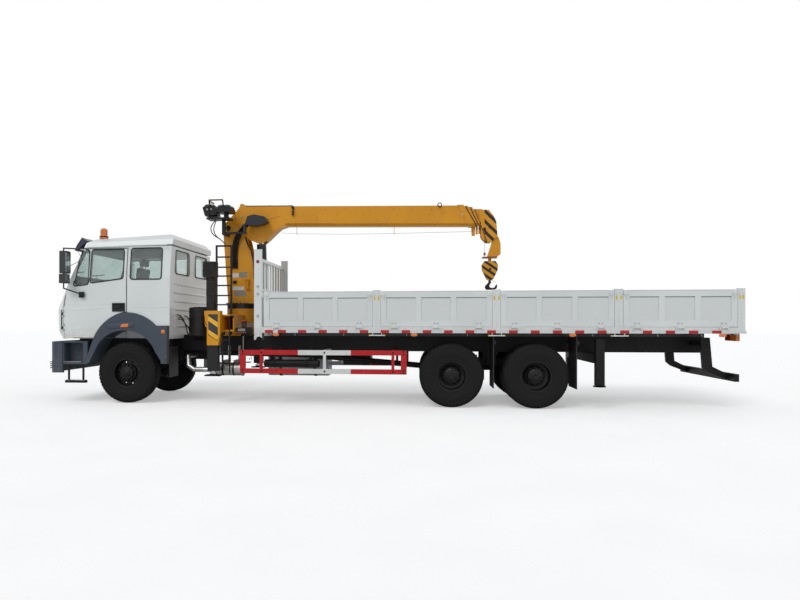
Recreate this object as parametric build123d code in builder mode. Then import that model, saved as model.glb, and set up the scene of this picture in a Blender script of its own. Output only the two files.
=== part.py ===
"""Truck-mounted crane: cab-over 6x4 truck, telescopic crane behind the cab, drop-side flatbed.

Millimetres. X runs to the rear, the truck's left side faces -Y, Z is up.
The ground is at Z = 0 and the middle of the overall length at X = 0.
"""
from build123d import *
import math
import os

os.makedirs("parts", exist_ok=True)

# wheels and axles
tyre_od = 1125.0
tyre_width = 290.0
rim_radius = 262.0
front_axle_x = -4650.0
rear_axle_x = 1312.0
tandem_spacing = 1450.0
front_wheel_y = 1050.0
dual_outer_y = 1052.0
dual_inner_y = 714.0
axle_z = tyre_od / 2
spindle_radius = 46.0
stub_radius = 42.0
king_pin_y = 800.0
king_pin_radius = 23.0

# running fit left round each pin, jack and slide
fit = 0.3

# ladder frame
rail_y = 430.0
rail_bottom_z = 956.0
rail_top_z = 1241.0
rail_front_x = -5960.0
rail_rear_x = 5822.0
rail_wall = 10.0

# cab
cab_wall = 45.0
cab_half_width = 1222.0
cab_rear_x = -3810.0
cab_floor_z = 1420.0
door_front_x = -5842.0
door_rear_x = -4634.0
door_bottom_z = 1196.0
door_gap = 8.0
door_depth = 290.0
window_corner = 45.0
door_pin_x = -5885.0
door_pin_y = 1226.0
door_pin_radius = 9.0
door_hinge_zs = (1400.0, 1660.0)

# bed
bed_front_x = -2216.0
bed_rear_x = 6146.0
bed_half_width = 1250.0
bed_rail_bottom_z = 1314.0
deck_top_z = 1420.0
deck_thickness = 32.0
side_bottom_z = 1433.0
side_top_z = 2056.0
side_thickness = 45.0
hinge_z = 1416.0
hinge_out = 20.0
hinge_pin_radius = 9.0

# crane
slew_x = -2760.0
pivot_x = -2997.0
pivot_z = 3362.0
boom_tilt = 0.85
column_half = 185.0
column_slot = 155.0
boom_half = 140.0
boom_wall = 9.0
boom_step = 20.0
cyl_low_x = -2340.0
cyl_low_z = 2050.0
cyl_high_x = -2375.0
cyl_high_z = 3160.0
luff_pin_radius = 35.0
low_pin_radius = 28.0
boom_bevel = 45.0
head_pin_radius = 18.0

# outriggers
leg_front_x = -3088.0
leg_rear_x = -2894.0
leg_outer_y = 1250.0
outrigger_box_bottom_z = 1335.0
outrigger_box_top_z = 1645.0
rear_leg_x = 3828.0
rear_leg_y = 1150.0
rear_leg_bottom_z = 420.0
rear_jack_radius = 44.0
leg_y = -1174.0
leg_bottom_z = 614.0
jack_radius = 46.0
gland_height = 60.0
slide_pad = 120.0

# ladder frame: two C rails joined by cross members, with the spring hangers
with BuildPart() as ladder_frame:
    with BuildSketch(Plane.YZ.offset(rail_front_x)):
        with Locations((-rail_y + 40, (rail_bottom_z + rail_top_z) / 2)):
            Rectangle(80, rail_top_z - rail_bottom_z)
        with Locations((-rail_y + 40 + rail_wall, (rail_bottom_z + rail_top_z) / 2)):
            Rectangle(80, rail_top_z - rail_bottom_z - 2 * rail_wall, mode=Mode.SUBTRACT)
    extrude(amount=rail_rear_x - rail_front_x)
    mirror(about=Plane.XZ)
    for cross_x, cross_z, cross_height in (
        (rail_front_x + 60, 1098, 160),
        (-3300, 1098, 160),
        (-1500, 1098, 160),
        (300, 1098, 160),
        (rear_axle_x + tandem_spacing / 2, 1098, 200),
        (4600, 1098, 160),
        (rail_rear_x - 60, 1098, 200),
    ):
        with Locations((cross_x, 0, cross_z)):
            Box(90, 2 * rail_y - 2 * rail_wall, cross_height)
    for hanger_x in (front_axle_x - 800, front_axle_x + 800):
        for hanger_y in (-rail_y, rail_y):
            with Locations((hanger_x, hanger_y, rail_bottom_z - 70)):
                Box(90, 80, 160)
    for hanger_y in (-rail_y, rail_y):
        with Locations((rear_axle_x + tandem_spacing / 2, hanger_y, rail_bottom_z - 68)):
            Box(240, 90, 156)

# engine and gearbox: one plain heavy block under the cab floor
with BuildPart() as engine_block:
    with Locations((-4700, 0, 1000)):
        Box(1250, 640, 480)
    with Locations((-3750, 0, 960)):
        Box(650, 420, 380)

# propeller shafts from the gearbox to the tandem
with BuildPart() as prop_shaft:
    for shaft_x1, shaft_z1, shaft_x2, shaft_z2 in (
        (-3440, 900, -1500, 860),
        (-1500, 860, rear_axle_x - 225, 640),
        (rear_axle_x + 225, 640, rear_axle_x + tandem_spacing - 225, 640),
    ):
        run = math.hypot(shaft_x2 - shaft_x1, shaft_z2 - shaft_z1)
        drop = (shaft_z2 - shaft_z1) / run
        with BuildSketch(
            Plane(origin=(shaft_x1, 0, shaft_z1), z_dir=((shaft_x2 - shaft_x1) / run, 0, drop))
        ):
            Circle(55)
        extrude(amount=run)
    for trim_x in (-3445, rear_axle_x - 220, rear_axle_x + 220, rear_axle_x + tandem_spacing - 220):
        with Locations((trim_x, 0, 760)):
            Box(40, 300, 500, mode=Mode.SUBTRACT)
    with Locations((-1500, 0, 914)):
        Box(60, 140, 208)

# front axle: forged beam with an eye for each king pin
with BuildPart() as front_axle:
    with BuildSketch(Plane.YZ.offset(front_axle_x - 45)):
        with BuildLine():
            Polyline(
                (-king_pin_y, 500),
                (-620, 490),
                (-520, 415),
                (520, 415),
                (620, 490),
                (king_pin_y, 500),
                (king_pin_y, 625),
                (610, 615),
                (500, 535),
                (-500, 535),
                (-610, 615),
                (-king_pin_y, 625),
                close=True,
            )
        make_face()
    extrude(amount=90)
    with Locations((front_axle_x, -king_pin_y, 500), (front_axle_x, king_pin_y, 500)):
        Cylinder(55, 125, align=(Align.CENTER, Align.CENTER, Align.MIN))
    with Locations((front_axle_x, -king_pin_y, 480), (front_axle_x, king_pin_y, 480)):
        Cylinder(
            king_pin_radius + fit,
            170,
            align=(Align.CENTER, Align.CENTER, Align.MIN),
            mode=Mode.SUBTRACT,
        )

# leaf springs: front pair on the beam, rear pair rocking on the tandem trunnion
front_spring_half = 800.0
rear_spring_half = 700.0
with BuildPart() as leaf_springs:
    for spring_x, spring_half, spring_z, leaf_count, drop in (
        (front_axle_x, front_spring_half, 535, 4, 241),
        (rear_axle_x + tandem_spacing / 2, rear_spring_half, 700, 5, -28),
    ):
        with BuildSketch(Plane.XZ.offset(rail_y - 40)):
            with BuildLine():
                Polyline(
                    (spring_x - spring_half, spring_z + drop),
                    (spring_x - 220, spring_z),
                    (spring_x + 220, spring_z),
                    (spring_x + spring_half, spring_z + drop),
                    (spring_x + spring_half, spring_z + drop + 30),
                    (spring_x + 260, spring_z + 22 * leaf_count),
                    (spring_x - 260, spring_z + 22 * leaf_count),
                    (spring_x - spring_half, spring_z + drop + 30),
                    close=True,
                )
            make_face()
        extrude(amount=80)
    mirror(about=Plane.XZ)

# rear axles: two banjo housings with a spindle at each end, for the dual wheels
with BuildPart() as rear_axles:
    for axle_x in (rear_axle_x, rear_axle_x + tandem_spacing):
        with BuildSketch(Plane.XZ.offset(985)):
            with Locations((axle_x, axle_z)):
                Circle(spindle_radius)
        extrude(amount=-1970)
        with BuildSketch(Plane.XZ.offset(520)):
            with Locations((axle_x, axle_z)):
                Circle(85)
        extrude(amount=-1040)
        with Locations((axle_x, 0, axle_z)):
            Sphere(230)
        with Locations(Location((axle_x, 0, 640), (0, 90, 0))):
            Cylinder(90, 480)
        for pad_y in (-rail_y, rail_y):
            with Locations((axle_x, pad_y, 637)):
                Box(150, 90, 70)

# steering knuckles: yoke lugs and king pin round the beam's eye, spindle outwards
with BuildPart() as knuckle_left:
    for lug_z in (470, 655):
        with Locations((front_axle_x, -king_pin_y, lug_z)):
            Cylinder(58, 28)
        with Locations((front_axle_x, -king_pin_y - 45, lug_z)):
            Box(110, 90, 28)
    with Locations((front_axle_x, -king_pin_y - 80, 562.5)):
        Box(110, 30, 213)
    with Locations((front_axle_x, -king_pin_y, 562.5)):
        Cylinder(king_pin_radius, 213)
    with BuildSketch(Plane.XZ.offset(king_pin_y + 90)):
        with Locations((front_axle_x, axle_z)):
            Circle(stub_radius)
    extrude(amount=230)
    with Locations((front_axle_x + 130, -king_pin_y + 10, 470)):
        Box(190, 40, 28)
knuckle_left.part.label = "knuckle_left"
export_step(knuckle_left.part, "parts/knuckle_left.step")

with BuildPart() as knuckle_right:
    mirror(knuckle_left.part, about=Plane.XZ)
knuckle_right.part.label = "knuckle_right"
export_step(knuckle_right.part, "parts/knuckle_right.step")

# one tyre's half section across the tread, turned about the axle
tyre_shoulder = tyre_od / 2 - 38
with BuildPart() as tyre_blank:
    with BuildSketch(Plane.XY):
        with BuildLine():
            Polyline(
                (rim_radius, -tyre_width * 0.37),
                (rim_radius + 18, -tyre_width * 0.37),
                (rim_radius + 70, -tyre_width * 0.48),
                (rim_radius + 150, -tyre_width / 2),
                (tyre_shoulder, -tyre_width * 0.46),
                (tyre_od / 2 - 6, -tyre_width * 0.38),
                (tyre_od / 2, -tyre_width * 0.25),
                (tyre_od / 2, tyre_width * 0.25),
                (tyre_od / 2 - 6, tyre_width * 0.38),
                (tyre_shoulder, tyre_width * 0.46),
                (rim_radius + 150, tyre_width / 2),
                (rim_radius + 70, tyre_width * 0.48),
                (rim_radius + 18, tyre_width * 0.37),
                (rim_radius, tyre_width * 0.37),
                close=True,
            )
        make_face()
    revolve(axis=Axis.Y)

# front rim: dropped band, dished disc and hub that bulges out past the disc
with BuildPart() as front_rim_blank:
    with BuildSketch(Plane.XY):
        with BuildLine():
            Polyline(
                (rim_radius + 14, -tyre_width * 0.37),
                (rim_radius + 14, -tyre_width * 0.37 - 10),
                (rim_radius - 14, -tyre_width * 0.37 - 10),
                (rim_radius - 24, -40),
                (rim_radius - 30, -20),
                (170, -26),
                (150, -58),
                (118, -62),
                (112, -118),
                (70, -128),
                (0, -128),
                (0, -80),
                (stub_radius + fit, -80),
                (stub_radius + fit, 60),
                (110, 60),
                (110, 10),
                (170, 0),
                (rim_radius - 34, 20),
                (rim_radius - 24, tyre_width * 0.37 + 10),
                (rim_radius + 14, tyre_width * 0.37 + 10),
                (rim_radius + 14, tyre_width * 0.37),
                (rim_radius - 2, tyre_width * 0.37),
                (rim_radius - 2, -tyre_width * 0.37),
                close=True,
            )
        make_face()
    revolve(axis=Axis.Y)
    with BuildSketch(Plane.XZ.offset(62)):
        with PolarLocations(205, 10):
            Circle(17)
    extrude(amount=-120, mode=Mode.SUBTRACT)

# rear hub with the two rims of a dual pair, deep dish outwards
dual_gap = dual_outer_y - dual_inner_y
with BuildPart() as rear_rim_blank:
    with BuildSketch(Plane.XY):
        with BuildLine():
            Polyline(
                (rim_radius + 14, -tyre_width * 0.37),
                (rim_radius + 14, -tyre_width * 0.37 - 10),
                (rim_radius - 14, -tyre_width * 0.37 - 10),
                (rim_radius - 24, 60),
                (170, 78),
                (150, 40),
                (132, 40),
                (126, -70),
                (90, -84),
                (0, -84),
                (0, 62),
                (spindle_radius + fit, 62),
                (spindle_radius + fit, dual_gap + 40),
                (200, dual_gap + 40),
                (200, 150),
                (160, 140),
                (160, 100),
                (rim_radius - 24, 88),
                (rim_radius - 14, tyre_width * 0.37 + 10),
                (rim_radius + 14, tyre_width * 0.37 + 10),
                (rim_radius + 14, tyre_width * 0.37),
                (rim_radius - 2, tyre_width * 0.37),
                (rim_radius - 2, -tyre_width * 0.37),
                close=True,
            )
        make_face()
    revolve(axis=Axis.Y)
    with BuildSketch(Plane.XY):
        with BuildLine():
            Polyline(
                (190, dual_gap - 60),
                (rim_radius - 24, dual_gap - 70),
                (rim_radius - 14, dual_gap - tyre_width * 0.37 - 10),
                (rim_radius + 14, dual_gap - tyre_width * 0.37 - 10),
                (rim_radius + 14, dual_gap - tyre_width * 0.37),
                (rim_radius - 2, dual_gap - tyre_width * 0.37),
                (rim_radius - 2, dual_gap + tyre_width * 0.37),
                (rim_radius + 14, dual_gap + tyre_width * 0.37),
                (rim_radius + 14, dual_gap + tyre_width * 0.37 + 10),
                (rim_radius - 14, dual_gap + tyre_width * 0.37 + 10),
                (rim_radius - 24, dual_gap - 30),
                (190, dual_gap - 20),
                close=True,
            )
        make_face()
    revolve(axis=Axis.Y)

# the wheels set on their axles: a front pair and two dual pairs a side
for side_name, side in (("left", -1), ("right", 1)):
    with BuildPart() as front_tyre:
        with Locations((front_axle_x, side * front_wheel_y, axle_z)):
            add(tyre_blank.part)
    front_tyre.part.label = "front_tyre_" + side_name
    export_step(front_tyre.part, "parts/front_tyre_" + side_name + ".step")

    with BuildPart() as front_rim:
        with Locations(Location((front_axle_x, side * front_wheel_y, axle_z), (0, 0, 90 + 90 * side))):
            add(front_rim_blank.part)
    front_rim.part.label = "front_rim_" + side_name
    export_step(front_rim.part, "parts/front_rim_" + side_name + ".step")

    for axle_number, axle_x in ((1, rear_axle_x), (2, rear_axle_x + tandem_spacing)):
        wheel_name = "_" + str(axle_number) + "_" + side_name
        with BuildPart() as rear_tyres:
            for wheel_y in (dual_inner_y, dual_outer_y):
                with Locations((axle_x, side * wheel_y, axle_z)):
                    add(tyre_blank.part)
        rear_tyres.part.label = "rear_tyres" + wheel_name
        export_step(rear_tyres.part, "parts/rear_tyres" + wheel_name + ".step")

        with BuildPart() as rear_rims:
            with Locations(Location((axle_x, side * dual_outer_y, axle_z), (0, 0, 90 + 90 * side))):
                add(rear_rim_blank.part)
        rear_rims.part.label = "rear_rims" + wheel_name
        export_step(rear_rims.part, "parts/rear_rims" + wheel_name + ".step")


# level sections of the cab: height, nose, corner, side, half width, rear wall
cab_sections = (
    # z, nose_x, corner_x, corner_y, side_x, half_width, rear_x
    (1196, -5990, -5940, 1110, -5880, cab_half_width, cab_rear_x),
    (1346, -6066, -6015, 1110, -5905, cab_half_width, cab_rear_x),
    (1724, -6089, -6035, 1110, -5905, cab_half_width, cab_rear_x),
    (1840, -6050, -6000, 1110, -5895, cab_half_width, cab_rear_x),
    (2348, -5848, -5800, 1090, -5720, cab_half_width, cab_rear_x + 5),
    (2920, -5600, -5555, 1020, -5475, cab_half_width - 72, cab_rear_x + 15),
)
roof_sections = (
    # front_z, rear_z, nose_x, corner_x, corner_y, side_x, half_width, rear_x
    (2893, 2946, -5620, -5570, 1035, -5485, cab_half_width - 54, cab_rear_x + 30),
    (2990, 3050, -5590, -5545, 1010, -5455, cab_half_width - 82, cab_rear_x + 45),
    (3065, 3147, -5440, -5400, 900, -5330, cab_half_width - 212, cab_rear_x - 40),
)


def cab_outline(nose_x, corner_x, corner_y, side_x, half_width, rear_x, inset):
    """Corner points of one level section of the cab, moved inwards by inset."""
    half = half_width - inset
    corner = corner_y - inset * 0.6
    front = inset * 0.8
    return [
        (rear_x - inset, half),
        (side_x + front * 0.4, half),
        (corner_x + front, corner),
        (nose_x + inset, corner * 0.55),
        (nose_x + inset, -corner * 0.55),
        (corner_x + front, -corner),
        (side_x + front * 0.4, -half),
        (rear_x - inset, -half),
    ]


def cab_body(inset, floor_z):
    """Solid of the cab from floor_z up to the gutter, moved inwards by inset."""
    rows = [row for row in cab_sections if row[0] > floor_z]
    below = [row for row in cab_sections if row[0] <= floor_z][-1]
    share = (floor_z - below[0]) / (rows[0][0] - below[0])
    rows.insert(0, [low + (high - low) * share for low, high in zip(below, rows[0])])
    with BuildPart() as body:
        for z, nose_x, corner_x, corner_y, side_x, half_width, rear_x in rows:
            with BuildSketch(Plane.XY.offset(z)):
                points = cab_outline(
                    nose_x, corner_x, corner_y, side_x, half_width, rear_x, inset
                )
                Polygon(*points, align=None)
        loft(ruled=True)
    return body.part


def cab_roof(inset):
    """Solid of the bevelled roof cap, higher at the rear, moved inwards by inset."""
    with BuildPart() as cap:
        for front_z, rear_z, nose_x, corner_x, corner_y, side_x, half_width, rear_x in roof_sections:
            slope = (rear_z - front_z) / (rear_x - nose_x)
            tilt = math.hypot(1, slope)
            roof_plane = Plane(
                origin=(0, 0, front_z - nose_x * slope - inset),
                x_dir=(1, 0, slope),
                z_dir=(-slope, 0, 1),
            )
            with BuildSketch(roof_plane):
                points = cab_outline(
                    nose_x * tilt,
                    corner_x * tilt,
                    corner_y,
                    side_x * tilt,
                    half_width,
                    rear_x * tilt,
                    inset,
                )
                Polygon(*points, align=None)
        loft(ruled=True)
    return cap.part


def arch_face(reach):
    """Outline of the wheel opening's outer edge, widened by reach, down to the fender's feet."""
    with BuildSketch(Plane.XZ) as opening:
        with BuildLine():
            Polyline((-5441 - reach, 740), (-5441 - reach, 746), (-5290 - reach, 1160))
            ThreePointArc(
                (-5290 - reach, 1160), (-5010 - reach * 0.7, 1535 + reach * 0.7), (-4640, 1689 + reach)
            )
            ThreePointArc(
                (-4640, 1689 + reach), (-4330 + reach * 0.6, 1625 + reach * 0.8), (-4060, 1440 + reach)
            )
            Polyline(
                (-4060, 1440 + reach),
                (-3816 + reach, 1440 + reach),
                (-3816 + reach, 740),
                (-5441 - reach, 740),
            )
        make_face()
    return opening.sketch


def inner_arch_face(reach):
    """Outline of the space the front wheel turns in, widened by reach."""
    with BuildSketch(Plane.XZ) as opening:
        with BuildLine():
            Polyline((-5362 - reach, 740), (-5362 - reach, 747), (-5190 - reach, 1080))
            ThreePointArc(
                (-5190 - reach, 1080), (-4960 - reach * 0.7, 1290 + reach * 0.7), (-4650, 1352 + reach)
            )
            ThreePointArc(
                (-4650, 1352 + reach), (-4300 + reach * 0.6, 1240 + reach * 0.8), (-4080 + reach, 960)
            )
            Polyline(
                (-4080 + reach, 960), (-3970 + reach, 790), (-3970 + reach, 740), (-5362 - reach, 740)
            )
        make_face()
    return opening.sketch


door_outline = (
    (door_front_x, door_bottom_z + 6),
    (-5880, 1702),
    (-5795, 2340),
    (-5575, 2862),
    (-5545, 2885),
    (door_rear_x, 2885),
    (door_rear_x, door_bottom_z + 6),
)
quarter_window = ((-5667, 2190), (-5570, 2840), (-5385, 2845), (-5385, 2225))
door_window = ((-5340, 2245), (-5325, 2850), (-4715, 2855), (-4715, 2325))
side_window = ((-4556, 2310), (-4556, 2868), (-3981, 2872), (-3981, 2310))

# everything that the windows leave open, as straight prisms through the walls
with BuildPart() as door_window_holes:
    with BuildSketch(Plane.XZ.offset(1300)) as door_windows:
        Polygon(*quarter_window, align=None)
        Polygon(*door_window, align=None)
        fillet(door_windows.vertices(), radius=window_corner)
    extrude(amount=-door_depth)
with BuildPart() as body_window_holes:
    with BuildSketch(Plane.XZ.offset(1300)) as side_windows:
        Polygon(*side_window, align=None)
        fillet(side_windows.vertices(), radius=window_corner)
    extrude(amount=-250)
    mirror(about=Plane.XZ)
    with BuildSketch(Plane.YZ.offset(-6000)) as windscreen:
        Polygon((-995, 2385), (995, 2385), (925, 2835), (-925, 2835), align=None)
        fillet(windscreen.vertices(), radius=window_corner)
    extrude(amount=480)
    with BuildSketch(Plane.YZ.offset(-3900)):
        with Locations((-560, 2640), (560, 2640)):
            RectangleRounded(720, 420, window_corner)
    extrude(amount=200)

arch_side = 1170.0
with BuildPart() as arch_hole:
    with BuildSketch(Plane.XZ.offset(1300)):
        add(arch_face(0))
    extrude(amount=arch_side - 1300)
    with BuildSketch(Plane.XZ.offset(arch_side)):
        add(inner_arch_face(20))
    extrude(amount=745 - arch_side)
    mirror(about=Plane.XZ)

# door hinges: pins held in the cab's pillar, each through a knuckle with a leaf on the door
leaf_thickness = 18.0
knuckle_radius = 14.0
knuckle_height = 56.0
with BuildPart() as hinge_pocket:
    for hinge_height in door_hinge_zs:
        with Locations((door_pin_x, -door_pin_y, hinge_height)):
            Cylinder(knuckle_radius + 8, 130)
        with Locations((door_pin_x + 9, -door_pin_y - 7, hinge_height)):
            Box(62, 58, 130)
with BuildPart() as cab_hinge_left:
    for hinge_height in door_hinge_zs:
        with Locations((door_pin_x, -door_pin_y, hinge_height)):
            Cylinder(door_pin_radius, 120)
        for lug_offset in (-45, 45):
            with Locations((door_pin_x, -door_pin_y, hinge_height + lug_offset)):
                Cylinder(knuckle_radius, 28)
            with Locations((door_pin_x - 24, -door_pin_y + leaf_thickness / 2, hinge_height + lug_offset)):
                Box(48, leaf_thickness, 28)
with BuildPart() as door_hinge_left:
    for hinge_height in door_hinge_zs:
        with Locations((door_pin_x, -door_pin_y, hinge_height)):
            Cylinder(knuckle_radius, knuckle_height)
        with Locations((door_pin_x + 26, -door_pin_y + leaf_thickness / 2, hinge_height)):
            Box(52, leaf_thickness, knuckle_height)
        with Locations((door_pin_x, -door_pin_y, hinge_height)):
            Cylinder(door_pin_radius + fit, knuckle_height, mode=Mode.SUBTRACT)

# cab shell: pressed steel, hollow, open at the doors, windows and wheel arches
with BuildPart() as cab_shell:
    add(cab_body(0, cab_sections[0][0]))
    add(cab_roof(0))
    add(cab_body(cab_wall, cab_floor_z), mode=Mode.SUBTRACT)
    add(cab_roof(cab_wall), mode=Mode.SUBTRACT)
    add(body_window_holes.part, mode=Mode.SUBTRACT)
    for side in (-1, 1):
        with BuildSketch(Plane.XZ.offset(-side * 1300)):
            Polygon(*door_outline, align=None)
            offset(amount=door_gap, kind=Kind.INTERSECTION)
        extrude(amount=side * door_depth, mode=Mode.SUBTRACT)
    add(arch_hole.part, mode=Mode.SUBTRACT)
    with Locations((-4700, 0, 1100)):
        Box(3000, 900, 320, mode=Mode.SUBTRACT)
    for hinge_part, hinge_mode in ((hinge_pocket.part, Mode.SUBTRACT), (cab_hinge_left.part, Mode.ADD)):
        add(hinge_part, mode=hinge_mode)
        add(hinge_part.mirror(Plane.XZ), mode=hinge_mode)
cab_shell.part.label = "cab_shell"
export_step(cab_shell.part, "parts/cab_shell.step")

# doors: hollow pressings with a sloping front window and a larger one behind it
with BuildPart() as door_panel_left:
    with BuildSketch(Plane.XZ.offset(1300)):
        Polygon(*door_outline, align=None)
    extrude(amount=-door_depth)
    add(cab_body(0, cab_sections[0][0]), mode=Mode.INTERSECT)
    add(cab_body(cab_wall, cab_sections[0][0]), mode=Mode.SUBTRACT)
    add(door_window_holes.part, mode=Mode.SUBTRACT)
    with BuildSketch(Plane.XZ.offset(1300)):
        add(arch_face(14))
    extrude(amount=-250, mode=Mode.SUBTRACT)
    add(hinge_pocket.part, mode=Mode.SUBTRACT)
    add(door_hinge_left.part)


# window panes, set into the walls
with BuildPart() as pane_skin:
    add(cab_body(16, 1500))
    add(cab_body(22, 1500), mode=Mode.SUBTRACT)
with BuildPart() as cab_glass:
    add(pane_skin.part)
    add(body_window_holes.part, mode=Mode.INTERSECT)
cab_glass.part.label = "cab_glass"
export_step(cab_glass.part, "parts/cab_glass.step")

with BuildPart() as door_glass_left:
    add(pane_skin.part)
    add(door_window_holes.part, mode=Mode.INTERSECT)
door_glass_left.part.label = "door_glass_left"
export_step(door_glass_left.part, "parts/door_glass_left.step")

with BuildPart() as door_glass_right:
    mirror(door_glass_left.part, about=Plane.XZ)
door_glass_right.part.label = "door_glass_right"
export_step(door_glass_right.part, "parts/door_glass_right.step")

# mirrors: tall main glass over a small round one, on bent arms from the door
with BuildPart() as door_mirror_left:
    with Locations((-5735, -1420, 2606)):
        Box(130, 220, 410)
    fillet(door_mirror_left.edges().filter_by(Axis.Z), radius=35)
    with Locations((-5745, -1420, 2305)):
        Box(110, 190, 170)
    with BuildLine() as mirror_arm:
        Polyline(
            (-5490, -1210, 2018),
            (-5490, -1250, 2018),
            (-5600, -1270, 2060),
            (-5760, -1420, 2130),
            (-5760, -1420, 2868),
            (-5560, -1300, 2868),
            (-5525, -1060, 2868),
        )
    with BuildSketch(Plane(origin=(-5490, -1210, 2018), z_dir=(0, -1, 0))):
        Circle(13)
    sweep(path=mirror_arm.line, transition=Transition.RIGHT)
    add(cab_body(0, 1500), mode=Mode.SUBTRACT)

# each door carries its mirror bracket
with BuildPart() as cab_door_left:
    add(door_panel_left.part)
    add(door_mirror_left.part)
cab_door_left.part.label = "cab_door_left"
export_step(cab_door_left.part, "parts/cab_door_left.step")

with BuildPart() as cab_door_right:
    mirror(cab_door_left.part, about=Plane.XZ)
cab_door_right.part.label = "cab_door_right"
export_step(cab_door_right.part, "parts/cab_door_right.step")

# fenders: moulded band round each front wheel, liner over it, step box ahead of it
step_front_x = -5883.0
with BuildPart() as wheel_fenders:
    with BuildSketch(Plane.XZ.offset(1246)):
        add(arch_face(0))
        add(inner_arch_face(0), mode=Mode.SUBTRACT)
    extrude(amount=1185 - 1246)
    with BuildSketch(Plane.XZ.offset(1185)):
        add(inner_arch_face(14))
        add(inner_arch_face(0), mode=Mode.SUBTRACT)
    extrude(amount=760 - 1185)
    with Locations(((step_front_x - 5400) / 2, -1060, 935)):
        Box(-5400 - step_front_x, 320, 430)
    with Locations(((step_front_x - 5460) / 2, -1130, 940)):
        Box(-5510 - step_front_x, 260, 360, mode=Mode.SUBTRACT)
    with BuildSketch(Plane.XZ.offset(1300)):
        add(inner_arch_face(0))
    extrude(amount=-600, mode=Mode.SUBTRACT)
    mirror(about=Plane.XZ)

# bumper: moulded front corner pieces joined by a cross panel, lamps let into the face
bumper_front_x = -6180.0
with BuildPart() as bumper:
    with BuildSketch(Plane.XY.offset(560)):
        with BuildLine():
            Polyline(
                (-5883, -1240),
                (-6060, -1240),
                (-6140, -1150),
                (bumper_front_x, -850),
                (bumper_front_x, 850),
                (-6140, 1150),
                (-6060, 1240),
                (-5883, 1240),
                (-5883, 1170),
                (-6030, 1170),
                (-6090, 1090),
                (-6110, 830),
                (-6110, -830),
                (-6090, -1090),
                (-6030, -1170),
                (-5883, -1170),
                close=True,
            )
        make_face()
    extrude(amount=582)
    with Locations((-6150, -900, 900), (-6150, 900, 900)):
        Box(120, 340, 190, mode=Mode.SUBTRACT)
    with Locations((-6150, 0, 900)):
        Box(120, 1100, 240, mode=Mode.SUBTRACT)
    with Locations((-6075, 0, 1060), (-6075, 0, 740)):
        Box(90, 860, 60)
    with Locations((-6020, -rail_y + 40, 1060), (-6020, rail_y - 40, 1060)):
        Box(120, 70, 60)

with BuildPart() as head_lamps:
    with BuildSketch(Plane.XY.offset(805)):
        Polygon(
            (-6098, -730),
            (-6098, -1070),
            (-6146, -1070),
            (bumper_front_x + 4, -852),
            (bumper_front_x + 4, -730),
            align=None,
        )
    extrude(amount=190)
    mirror(about=Plane.XZ)

# grille: black slatted panel on the nose, with the wiper panel above it
with BuildPart() as grille:
    with Locations((-6095, 0, 1560)):
        Box(90, 1360, 380)
    for slat_z in (1440, 1520, 1600, 1680):
        with Locations((-6140, 0, slat_z)):
            Box(40, 1240, 40, mode=Mode.SUBTRACT)
    add(cab_body(0, cab_sections[0][0]), mode=Mode.SUBTRACT)

# sun visor over the windscreen, a bent tinted panel on the roof's front
with BuildPart() as sun_visor:
    with BuildSketch(Plane.XZ.offset(1120)):
        Polygon((-5560, 3098), (-5450, 3030), (-5690, 2850), (-5705, 2866), (-5660, 2960), align=None)
    extrude(amount=-2240)
    with BuildSketch(Plane.XZ.offset(1085)):
        Polygon((-5540, 3070), (-5400, 2990), (-5500, 2840), (-5690, 2850), (-5650, 2950), align=None)
    extrude(amount=-2170, mode=Mode.SUBTRACT)
    with BuildSketch(Plane.XZ.offset(1085)):
        Polygon(
            (-5560, 3098),
            (-5545, 3070),
            (-5648, 2948),
            (-5690, 2850),
            (-5705, 2866),
            (-5660, 2960),
            align=None,
        )
    extrude(amount=-2170)
    add(cab_body(0, cab_sections[0][0]), mode=Mode.SUBTRACT)
    add(cab_roof(0), mode=Mode.SUBTRACT)

# rotating beacon lens on its foot
with BuildPart() as beacon:
    with Locations((-5240, -880, 3010)):
        Cylinder(82, 120, align=(Align.CENTER, Align.CENTER, Align.MIN))
        Cylinder(68, 255, align=(Align.CENTER, Align.CENTER, Align.MIN))
    with Locations((-5240, -880, 3265)):
        Cone(68, 40, 30, align=(Align.CENTER, Align.CENTER, Align.MIN))
    add(cab_roof(0), mode=Mode.SUBTRACT)

# cab inside: dash, seats, bunk step, steering column and wheel
with BuildPart() as dash_panel:
    with BuildSketch(Plane.XZ.offset(1060)):
        Polygon(
            (-5760, cab_floor_z),
            (-5560, cab_floor_z),
            (-5450, 2080),
            (-5500, 2190),
            (-5720, 2230),
            align=None,
        )
    extrude(amount=-2120)
    with Locations((-5050, 0, cab_floor_z + 90)):
        Box(900, 520, 180)
    with Locations((-4020, 0, cab_floor_z + 160)):
        Box(300, 2100, 320)

with BuildPart() as cab_seats:
    for seat_y in (-650, 650):
        with Locations((-4900, seat_y, cab_floor_z + 160)):
            Box(420, 400, 320)
        with Locations((-4880, seat_y, cab_floor_z + 400)):
            Box(520, 520, 160)
        with BuildSketch(Plane.XZ.offset(-seat_y + 250)):
            Polygon((-4700, 1900), (-4590, 1900), (-4500, 2560), (-4590, 2575), align=None)
        extrude(amount=-500)
        with BuildSketch(Plane.XZ.offset(-seat_y + 150)):
            Polygon((-4590, 2575), (-4500, 2560), (-4480, 2720), (-4560, 2730), align=None)
        extrude(amount=-300)
cab_seats.part.label = "cab_seats"
export_step(cab_seats.part, "parts/cab_seats.step")

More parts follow.
